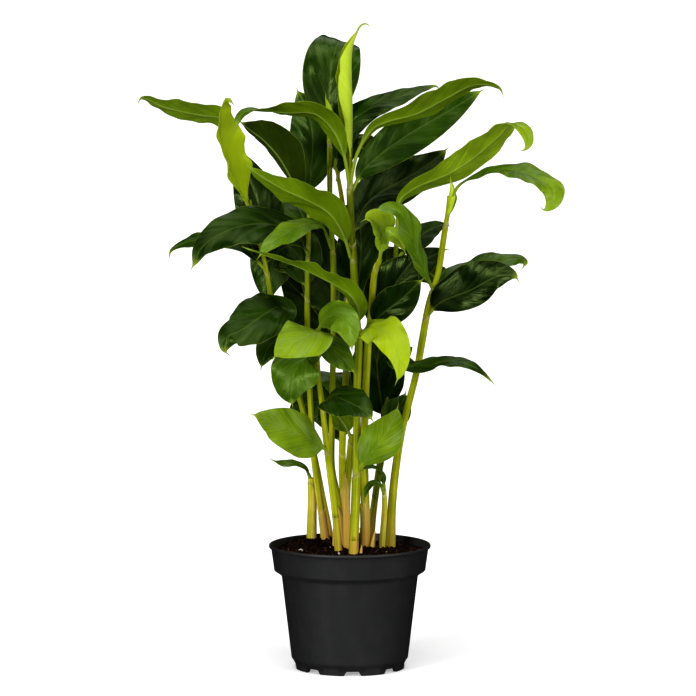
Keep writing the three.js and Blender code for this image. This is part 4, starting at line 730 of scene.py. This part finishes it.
def sleeve(skin, form, shares, slant, shell, kind):
    """A thin sleeve round a stem: rings `shell` wider than the stem, which slide along it by
    `slant`, with a last ring tucked into the stem at both ends."""
    centre, along, side, front, length = tube_frame(form["line"], shares)
    ends = np.array([0, *range(len(shares)), -1])
    shell = shell[ends]
    shell[[0, -1]] = -SLEEVE_TUCK
    size = stem_radius(form["radius"], shares, centre[:, 2])[ends, None] + shell
    size = np.broadcast_to(size, (len(ends), STEM_SIDES))
    slid = centre[ends, None] + along[ends, None] * slant[ends][..., None]
    kind = [value[ends] if np.ndim(value) else value for value in kind]
    wrap(skin, slid, side[ends], front[ends], size, shares[ends] * length, kind)


def tilt(turn_to):
    """0 at the turn where a sleeve's edge is highest, and 1 on the other side."""
    return (1 - np.cos(full_turn(STEM_SIDES) - turn_to)) / 2


def sheath(skin, form, top, turn_to):
    """A leaf's sheath: a thin sleeve round the stem below the leaf, which thins out downwards. Its
    upper edge is slanted, and is highest where the leaf leaves the stem."""
    line = form["line"]
    length = smooth_line(line, np.linspace(0, 1, 3))[2]
    low, high = SHEATH_ENDS
    shares = np.linspace(max(top - SHEATH["length"] / length, low), min(top, high), SHEATH["rows"])
    share = np.linspace(0, 1, len(shares))[:, None]
    tone = stem_tone(form["tone"], tube_frame(line, shares)[0][:, 2])
    sleeve(skin, form, shares, -SHEATH["slant"] * share ** 3 * tilt(turn_to),
           SHEATH["least"] + SHEATH["shell"] * smooth(0, SHEATH["full_from"], share),
           (tone, 0, SHEATH_RIM * smooth(RIM_FROM, 1, share)))


def husk(skin, form, low, high, turn_to):
    """A dried papery sleeve round the foot of a stem, loose and slanted at its ragged upper edge."""
    dense = np.linspace(0, 1, FINE_STEPS)
    height = tube_frame(form["line"], dense)[0][:, 2]
    shares = np.interp(np.linspace(low, high, HUSK["rows"]), height, dense)
    share = np.linspace(0, 1, len(shares))[:, None]
    turn = full_turn(STEM_SIDES)
    ragged = sum(height * np.sin(count * turn + start) for height, count, start in HUSK_RAGS)
    slant = -share ** 2 * ((high - low) * HUSK["slant"] * tilt(turn_to) + ragged)
    flare = HUSK["flare"] * share ** 2 * (1 - tilt(turn_to))
    shell = HUSK["shell"] + flare + HUSK["crumple"] * np.sin(HUSK["crumples"] * turn)
    sleeve(skin, form, shares, slant, shell, [blend(*ends, share) for ends in HUSK_LOOKS])


def leaving(line, leaf):
    """Where a leaf leaves its stem: the share of the stem's length, and the turn round it."""
    start, ahead = np.array(leaf["rib"][:2], float)
    shares = np.linspace(0, 1, SEARCH_STEPS)
    centre, _, side, front, _ = tube_frame(line, shares)
    best = int(np.argmin(np.linalg.norm(centre - start, axis=1)))
    away = ahead - start
    return shares[best], math.atan2(float(away @ front[best]), float(away @ side[best]))


def shoot(name, finishes, draw):
    """One leafy shoot: its stem, dried sleeves and buds at its foot, and its leaves, each with a
    sheath below it."""
    skin = Skin()
    form = STEMS[name]
    stem(skin, form)
    for low, high, turn_to in HUSKS.get(name, ()):
        husk(skin, form, low, high, math.radians(turn_to))
    if name in BUDS:
        stem(skin, {**BUD_LOOK, **BUDS[name]})
    for leaf in LEAVES[name].values():
        sheath(skin, form, *leaving(form["line"], leaf))
        blade(skin, {**ORDINARY_LEAF, **leaf}, draw)
    return skin.piece(name + "_grown", finishes, name, "shoot")


def around_notches(turn, form):
    """1 round each notch of the foot ring and 0 between them, with flared ends."""
    pitch = 2 * np.pi / NOTCH_COUNT
    off = (turn + np.pi / 2 - NOTCH_TURN + pitch / 2) % pitch - pitch / 2
    half_width, flare = form["half_width"], form["flare"]
    return 1 - smooth(half_width - flare, half_width + flare, np.abs(off) * FOOT_RADIUS)


def arc(radius, height, size, start, end, count):
    """Points [r, z] on part of a circle, from one angle in degrees to another."""
    turn = np.radians(np.linspace(start, end, count))
    return np.stack([radius + size * np.cos(turn), height + size * np.sin(turn)], axis=1)


def pot_profile():
    """The pot's section as points [r, z]: under the floor, foot ring, wall, ledge, collar, rim and
    back down the inside to the middle of the floor. Corners are small arcs."""
    foot, inner = FOOT_RADIUS, FOOT_RADIUS - FOOT_RING
    ledge, rim, top = LEDGE_HEIGHT, RIM_RADIUS, POT_HEIGHT
    return np.vstack([
        [(1, FLOOR_LIFT), (20, FLOOR_LIFT), (40, FLOOR_LIFT), (inner, FLOOR_LIFT - 0.4), (inner, 0.5)],
        arc(inner + 0.5, 0.5, 0.5, 180, 270, 4),
        arc(foot - 0.6, 0.6, 0.6, 270, 360, 5),
        [(foot + 0.25, 2.4), (foot + 0.5, 4.9), (foot + 0.55, 5.2), (foot + 1.2, 6.6)],
        [(46.3, 7.7), (46.75, 8.1), (47, 8.7)],
        np.linspace((47.15, 10), (54.9, ledge - 5), 14),
        arc(58.2, ledge - 4.6, 3.2, 178, 100, 6),
        arc(59.4, ledge + 0.2, 1.6, 280, 360, 6),
        [(61.3, ledge + 3), (62.3, ledge + 10), (63.2, top - 3.6), (63.45, top - 3), (64.1, top - 2.6)],
        arc(rim - 0.7, top - 1.8, 0.7, -70, 0, 4),
        arc(rim - 0.9, top - 0.9, 0.9, 10, 150, 7),
        INSIDE,
    ])


def fine_profile(profile, longest):
    """The same profile with long straight runs cut into shorter steps."""
    fine = [profile[:1]]
    for start, end in zip(profile[:-1], profile[1:]):
        steps = max(1, math.ceil(np.linalg.norm(end - start) / longest))
        fine.append(blend(start, end, np.arange(1, steps + 1)[:, None] / steps))
    return np.vstack(fine)


def pot(finish):
    """The pot: its profile turned about +Z, with notches lifted out of the foot ring and a shallow
    recess pressed in round each notch."""
    skin = Skin()
    profile = fine_profile(pot_profile(), LONGEST_STEP)
    turn = full_turn(POT_SIDES)
    radius, height = profile[:, :1], profile[:, 1:]
    ring, face = ((radius > form["beyond"]) & (height < form["below"]) for form in (NOTCH, RECESS))
    lifted = np.maximum(height, NOTCH["height"] * around_notches(turn, NOTCH))
    z = np.where(ring, lifted, height)
    r = np.where(face, radius - RECESS["depth"] * around_notches(turn, RECESS), radius)
    rings = np.stack([r * np.cos(turn), r * np.sin(turn), z], axis=-1)
    plain = np.zeros_like(rings)
    skin.add(rings, plain, plain)
    return skin.piece("pot_moulded", [finish], "pot", "pot")


def value_noise(x, y, size, lattice):
    """Smooth random hills: a lattice of random heights `size` apart, joined by 3u^2 - 2u^3."""
    count = len(lattice)
    i, j = np.floor(x / size).astype(int), np.floor(y / size).astype(int)
    u, v = smooth(0, 1, x / size - i), smooth(0, 1, y / size - j)
    west, east, south, north = i % count, (i + 1) % count, j % count, (j + 1) % count
    low = blend(lattice[west, south], lattice[east, south], u)
    high = blend(lattice[west, north], lattice[east, north], u)
    return blend(low, high, v)


def soil_height(x, y, lattice):
    """The soil's height: a low mound, and hills of three sizes."""
    far = np.hypot(x - MOUND["x"], y - MOUND["y"])
    spots = (x, y), (y, x), (x + GRAIN_SHIFT[0], y + GRAIN_SHIFT[1])
    hills = sum(height * value_noise(*spot, size, lattice)
                for spot, size, height in zip(spots, HILL_SIZES, HILL_HEIGHTS))
    return SOIL_LEVEL + MOUND["height"] * hump(far, MOUND["spread"]) + hills - HILL_HEIGHTS[0]


def soil(finish, draw):
    """The bed of soil with crumbs, bark, white grit and root fibres lying on it."""
    skin = Skin()
    lattice = draw.uniform(0, 1, (LATTICE, LATTICE))
    turn = full_turn(SOIL_SIDES)
    reach = np.linspace(0.5, SOIL_RADIUS, SOIL_RINGS)[:, None]
    x, y = reach * np.cos(turn), reach * np.sin(turn)
    top = np.stack([x, y, soil_height(x, y, lattice)], axis=-1)
    r, z = np.transpose(SOIL_SKIRT)[..., None]
    skirt = np.stack([r * np.cos(turn), r * np.sin(turn), z + turn * 0], axis=-1)
    rings = np.concatenate([top, skirt])[::-1]
    skin.add(rings, rings, marks(rings.shape[:2], BED_SHADE, 0, 0))
    crumbs(skin, lattice, draw)
    fibres(skin, lattice, draw)
    return skin.piece("soil_bed", [finish], "soil", "soil")


def crumbs(skin, lattice, draw):
    """Crumbs of soil, bark and white grit: short barrels of three six-sided rings, each stretched,
    dented and turned its own way, and half sunk into the soil."""
    turn = full_turn(CRUMB_SIDES)
    height, width = np.array([CRUMB_HEIGHTS, CRUMB_WIDTHS])[..., None]
    barrel = np.stack([width * np.cos(turn), width * np.sin(turn), height + turn * 0], axis=-1)
    barrel = barrel.reshape(-1, 3)
    size = CRUMB["least"] + CRUMB["more"] * draw.random(CRUMBS) ** 3
    stretch = draw.uniform(*CRUMB["stretch"], (CRUMBS, 1, 3))
    dents = draw.uniform(*CRUMB["dents"], (CRUMBS, len(barrel), 1))
    lumps = barrel * dents * stretch * size[:, None, None]
    lumps = turned_by(lumps, unit(draw.normal(size=(CRUMBS, 4))))
    reach = (SOIL_RADIUS - RIM_GAP["crumbs"]) * np.sqrt(draw.random(CRUMBS))
    turn = draw.uniform(0, 2 * np.pi, CRUMBS)
    x, y = reach * np.cos(turn), reach * np.sin(turn)
    lumps += np.stack([x, y, soil_height(x, y, lattice) + size * CRUMB["lift"]], axis=1)[:, None]
    grit = draw.random(CRUMBS) < GRIT_SHARE
    shade = np.where(grit, 1, CRUMB_SHADE * draw.random(CRUMBS) ** 1.6)
    faces = ring_faces(len(CRUMB_HEIGHTS), CRUMB_SIDES)
    faces = (np.arange(CRUMBS) * len(barrel))[:, None, None] + faces
    kind = np.repeat(marks(CRUMBS, shade, 0, 0), len(barrel), axis=0)
    points = lumps.reshape(-1, 3)
    skin.add_quads(points, faces.reshape(-1, 4), points, kind)


def turned_by(points, spin):
    """Each group of points turned by its own unit quaternion (w, x, y, z)."""
    w, v = spin[:, None, :1], spin[:, None, 1:]
    cross = np.cross(v, points)
    return points + 2 * (w * cross + np.cross(v, cross))


def fibres(skin, lattice, draw):
    """Thin root fibres that lie curled on the soil."""
    around = full_turn(4)[..., None]
    for _ in range(FIBRES):
        reach = (SOIL_RADIUS - RIM_GAP["fibre_starts"]) * math.sqrt(draw.random())
        turn = draw.uniform(0, 2 * np.pi)
        heading = draw.uniform(0, 2 * np.pi) + np.cumsum(draw.normal(0, FIBRE["bend"], 5))
        step = draw.uniform(*FIBRE["steps"])
        x = reach * math.cos(turn) + np.cumsum(step * np.cos(heading))
        y = reach * math.sin(turn) + np.cumsum(step * np.sin(heading))
        inside = min(1, (SOIL_RADIUS - RIM_GAP["fibres"]) / np.hypot(x, y).max())
        x, y = x * inside, y * inside
        line = np.stack([x, y, soil_height(x, y, lattice) + FIBRE["lift"]], axis=1)
        centre, _, side, front, _ = tube_frame(line, np.linspace(0, 1, 7))
        ring = side[:, None] * np.cos(around) + front[:, None] * np.sin(around)
        rings = centre[:, None] + FIBRE["radius"] * ring
        skin.add(rings, rings, marks(rings.shape[:2], draw.uniform(*FIBRE["shades"]), 0, 0))


class Signal:
    """A socket of a node tree. Arithmetic on signals and numbers adds Math nodes to the tree."""

    def __init__(self, nodes, socket):
        self.nodes = nodes
        self.socket = socket

    def math(self, operation, *values):
        """A Math node of some operation on values or signals."""
        return self.nodes.add("ShaderNodeMath", {"operation": operation}, dict(enumerate(values)))

    def __add__(self, other):
        return self.math("ADD", self, other)

    def __radd__(self, other):
        return self.math("ADD", other, self)

    def __sub__(self, other):
        return self.math("SUBTRACT", self, other)

    def __rsub__(self, other):
        return self.math("SUBTRACT", other, self)

    def __mul__(self, other):
        return self.math("MULTIPLY", self, other)

    def __rmul__(self, other):
        return self.math("MULTIPLY", other, self)

    def __abs__(self):
        return self.math("ABSOLUTE", self)

    def sine(self):
        return self.math("SINE", self)


class Nodes:
    """A node tree that is built from expressions."""

    def __init__(self, tree):
        self.tree = tree

    def add(self, kind, settings=None, inputs=None, output=0):
        """Adds a node: its settings first, then values or signals on its sockets."""
        node = self.tree.nodes.new(kind)
        for title, value in (settings or {}).items():
            if title == "stops":
                self.set_stops(node.color_ramp, value)
            else:
                setattr(node, title, value)
        for title, value in (inputs or {}).items():
            self.feed(node.inputs[title], value)
        return Signal(self, node.outputs[output])

    def set_stops(self, ramp, stops):
        """Gives a ramp its stops, each a position and a colour."""
        while len(ramp.elements) < len(stops):
            ramp.elements.new(1)
        for element, (position, colour) in zip(ramp.elements, stops):
            element.position = position
            element.color = (*colour, 1)

    def feed(self, socket, value):
        """Links a signal to a socket, or sets the socket's own value."""
        if isinstance(value, Signal):
            self.tree.links.new(value.socket, socket)
        elif isinstance(value, tuple) and socket.type == "RGBA":
            socket.default_value = (*value, 1)
        else:
            socket.default_value = value

    def parts(self, vector):
        """The three numbers of a vector."""
        first = self.add("ShaderNodeSeparateXYZ", inputs={0: vector})
        return [Signal(self, socket) for socket in first.socket.node.outputs]

    def vector(self, *values):
        """A vector of three numbers."""
        return self.add("ShaderNodeCombineXYZ", inputs=dict(enumerate(values)))

    def marks(self, title):
        """The three numbers that the mesh stores for each point under a name."""
        return self.parts(self.add("ShaderNodeAttribute", {"attribute_name": title}, output="Vector"))

    def place(self, system="Object"):
        """The point's place on the object, or in another of Blender's systems."""
        return self.add("ShaderNodeTexCoord", output=system)

    def noise(self, vector, scale=1.0, detail=2.0, roughness=0.5):
        """Smooth random values from 0 to 1."""
        return self.add("ShaderNodeTexNoise", inputs={
            "Vector": vector, "Scale": scale, "Detail": detail, "Roughness": roughness})

    def ramp(self, value, stops):
        """Colours by a value."""
        return self.add("ShaderNodeValToRGB", {"stops": stops}, {0: value})

    def step(self, value, low, high):
        """0 at low and 1 at high, smoothly."""
        return self.add("ShaderNodeMapRange", {"interpolation_type": "SMOOTHSTEP"},
                        {0: value, 1: low, 2: high})

    def mix(self, share, first, second):
        """One colour over another."""
        inputs = {0: share, 6: first, 7: second}
        return self.add("ShaderNodeMix", {"data_type": "RGBA"}, inputs, output=2)

    def bump(self, height, strength, distance):
        """A normal that follows small heights."""
        return self.add("ShaderNodeBump", inputs={
            "Height": height, "Strength": strength, "Distance": distance})


def finish(title, build, **constants):
    """A material whose shader has some constants, and the sockets that `build` gives it."""
    material = bpy.data.materials.new(title)
    material.use_nodes = True
    nodes = Nodes(material.node_tree)
    shader = next(n for n in material.node_tree.nodes if n.type == "BSDF_PRINCIPLED")
    for socket, value in {**constants, **build(nodes)}.items():
        nodes.feed(shader.inputs[socket.replace("_", " ")], value)
    return material


def shift(noise, amount):
    """Noise from 0 to 1 as a shift either way, `amount` from end to end."""
    return (noise - 0.5) * amount


def grain(nodes, vein, across, tone, look):
    """Noise drawn out along the veins of a leaf, and different from leaf to leaf."""
    along, aside, jump, detail = look
    return nodes.noise(nodes.vector(vein * along, across * aside, tone * jump), detail=detail)


def leaf_look(nodes):
    """Greens by the leaf's tone, with streaks along the veins, a painted sheen in pale cloudy patches,
    a painted highlight along the midrib of the palest leaves, a pale midrib and margin, a stalk of
    the stem's colour, a glossy upper side and a duller underside."""
    across, run, edge = nodes.marks("place")
    tone, under, full = nodes.marks("kind")
    off = abs(across)
    vein = run - off * VEIN_SWEEP
    streak, fine, cloud = (grain(nodes, vein, across, tone, look) for look in (STREAK, FINE, CLOUD))
    mottle = nodes.noise(nodes.place(), scale=42, detail=3)
    calm = 1 - nodes.step(tone, *CALM_TONES) * CALM_SHARE
    shade = tone + (shift(streak, 0.26) + shift(fine, 0.14) + shift(mottle, 0.34)) * calm
    # Painted sheen: pale cloudy patches along the veins on the upper side only. They grow with the leaf's
    # tone and are left off the palest leaves.
    painted_sheen = nodes.step(cloud + shift(streak, 0.12), *PAINTED_SHEEN_CLOUD) * nodes.step(tone, *PAINTED_SHEEN_TONES)
    painted_sheen = painted_sheen * (tone * PAINTED_SHEEN_STRENGTH["by_tone"] + PAINTED_SHEEN_STRENGTH["least"]) * (1 - under)
    # Painted highlight: a pale strip within a few millimetres of the midrib on the palest leaves, for the
    # lit side of the rolled spear.
    lit_strip = nodes.step(tone, *LIT_STRIP_TONES) * nodes.step(off, *LIT_STRIP_REACH)
    rib = nodes.step(off, *RIB_REACH) * (under * RIB["more_below"] + RIB["above"])
    margin = nodes.step(edge, *MARGIN_REACH) * nodes.step(full, *MARGIN_FULLNESS)
    stalk = nodes.step(full, *STALK_FULLNESS)
    colour = nodes.mix(under, nodes.ramp(shade, UPPER_GREENS), nodes.ramp(shade, UNDER_GREENS))
    for share, pale in ((painted_sheen, LEAF_PAINTED_SHEEN), (lit_strip * LIT_STRIP_SHARE, PAINTED_LIT_STRIP), (rib, RIB_PALE),
                        (margin * MARGIN_SHARE, MARGIN_PALE), (stalk * STALK_SHARE, STALK_GREEN)):
        colour = nodes.mix(share, colour, pale)
    ridge = (vein * RIDGE_PACE).sine() * 0.2 + fine * 0.5 + streak
    return {
        "Base Color": colour,
        "Roughness": under * 0.22 + shift(streak, 0.16) + shift(mottle, 0.16) + 0.18,
        "Normal": nodes.bump(ridge, strength=0.3, distance=0.0005),
    }


def stem_look(nodes):
    """Yellow-green by the stem's tone, with long streaks, a blush at the foot and pale dry edges on
    the sheaths."""
    x, y, run = nodes.marks("place")
    tone, blush, rim = nodes.marks("kind")
    streak = nodes.noise(nodes.vector(x * 0.75, y * 0.75, run * 0.012), detail=3)
    fine = nodes.noise(nodes.vector(x * 2.6, y * 2.6, run * 0.03), detail=2)
    patch = nodes.noise(nodes.place(), scale=60, detail=3)
    colour = nodes.ramp(tone + shift(streak, 0.6) + shift(patch, 0.3), STEM_GREENS)
    colour = nodes.mix(blush * nodes.step(streak, *BLUSH_STREAKS), colour, BLUSH)
    colour = nodes.mix(rim, colour, SHEATH_EDGE)
    return {
        "Base Color": colour,
        "Roughness": shift(fine, 0.3) + 0.36,
        "Normal": nodes.bump(fine * 0.6 + streak, strength=0.3, distance=0.0006),
    }


def pot_look(nodes):
    """Black moulded plastic: a fine grain, faint upright flow lines, and a little dry dust."""
    place = nodes.place()
    x, y, z = nodes.parts(place)
    pits = nodes.noise(place, scale=1500, detail=2)
    flow = nodes.noise(nodes.vector(x * 160, y * 160, z * 4), detail=3)
    dust = nodes.noise(place, scale=55, detail=4, roughness=0.6)
    return {
        "Base Color": nodes.mix(nodes.step(dust, *DUSTY) * 0.35 + flow * 0.25, *POT_BLACKS),
        "Roughness": shift(flow, 0.16) + shift(dust, 0.14) + 0.5,
        "Normal": nodes.bump(pits + flow * 1.5, strength=0.12, distance=0.0003),
    }


def soil_look(nodes):
    """Browns by each crumb's own shade, broken up by fine noise that leaves the white grit out."""
    shade = nodes.marks("kind")[0]
    place = nodes.place()
    fine = nodes.noise(place, scale=900, detail=4, roughness=0.65)
    patch = nodes.noise(place, scale=150, detail=3)
    brown = 1 - nodes.step(shade, *GRIT_SHADES)
    shade = shade + (shift(fine, 0.35) + shift(patch, 0.3)) * brown
    return {
        "Base Color": nodes.ramp(shade, SOIL_BROWNS),
        "Roughness": shift(fine, 0.25) + 0.8,
        "Normal": nodes.bump(fine + patch, strength=0.6, distance=0.0012),
    }


def floor_look(nodes):
    """A pale matt floor with a barely seen unevenness."""
    cloud = nodes.noise(nodes.place(), scale=3, detail=2)
    return {"Base Color": nodes.mix(cloud * 0.5, *FLOOR_PALES)}


def shown(title, data, place=(0, 0, 0), turned=(0, 0, 0)):
    """An object of the scene."""
    thing = bpy.data.objects.new(title, data)
    thing.location = place
    thing.rotation_euler = turned
    bpy.context.scene.collection.objects.link(thing)
    return thing


def viewpoint():
    """The camera, and how its picture is toned."""
    scene = bpy.context.scene
    scene.view_settings.view_transform = "Standard"
    scene.view_settings.look = "Medium High Contrast"
    lens = bpy.data.cameras.new("viewpoint")
    lens.sensor_width = SENSOR_WIDTH
    lens.lens = LENS
    lens.clip_end = FARTHEST_SEEN
    scene.camera = shown("viewpoint", lens, EYE, (math.pi / 2 - LOOK_DOWN, 0, 0))


def pale_floor():
    """A wide square floor, which the object's gloss doesn't mirror."""
    mesh = bpy.data.meshes.new("floor")
    corners = np.array([(-1, -1, 0), (1, -1, 0), (1, 1, 0), (-1, 1, 0)]) * FLOOR_SIZE / 2
    mesh.from_pydata(corners, [], [(0, 1, 2, 3)])
    glow = {"Roughness": 0.85, "Emission_Color": (1, 1, 1), "Emission_Strength": FLOOR_GLOW}
    mesh.materials.append(finish("pale floor", floor_look, **glow))
    floor = shown("floor", mesh)
    floor.visible_glossy = False


def soft_light():
    """A dome of light that is brighter overhead, and a few wide soft lights."""
    world = bpy.data.worlds.new("studio")
    world.use_nodes = True
    bpy.context.scene.world = world
    nodes = Nodes(world.node_tree)
    background = next(n for n in world.node_tree.nodes if n.type == "BACKGROUND")
    height = nodes.parts(nodes.place("Generated"))[2]
    light = nodes.step(height, *DOME_RISE) * (DOME_HIGH - DOME_LOW) + DOME_LOW
    nodes.feed(background.inputs["Strength"], light)
    for title, (turn, rise, strength, spread) in SUNS.items():
        sun = bpy.data.lights.new(title, "SUN")
        sun.energy = strength
        sun.angle = math.radians(spread)
        shown(title, sun, turned=(math.radians(90 - rise), 0, math.radians(turn)))


viewpoint()
pale_floor()
soft_light()
draw = np.random.default_rng(RANDOM_SEED)
pot(finish("moulded plastic", pot_look, Specular_IOR_Level=0.4))
soil(finish("potting soil", soil_look, Specular_IOR_Level=0.05), draw)
plant_finishes = [finish("leaf blade", leaf_look, Specular_IOR_Level=0.24, Specular_Tint=LEAF_SHEEN),
                  finish("stem", stem_look, Specular_IOR_Level=0.3, Specular_Tint=LEAF_SHEEN)]
for name in STEMS:
    shoot(name, plant_finishes, draw)
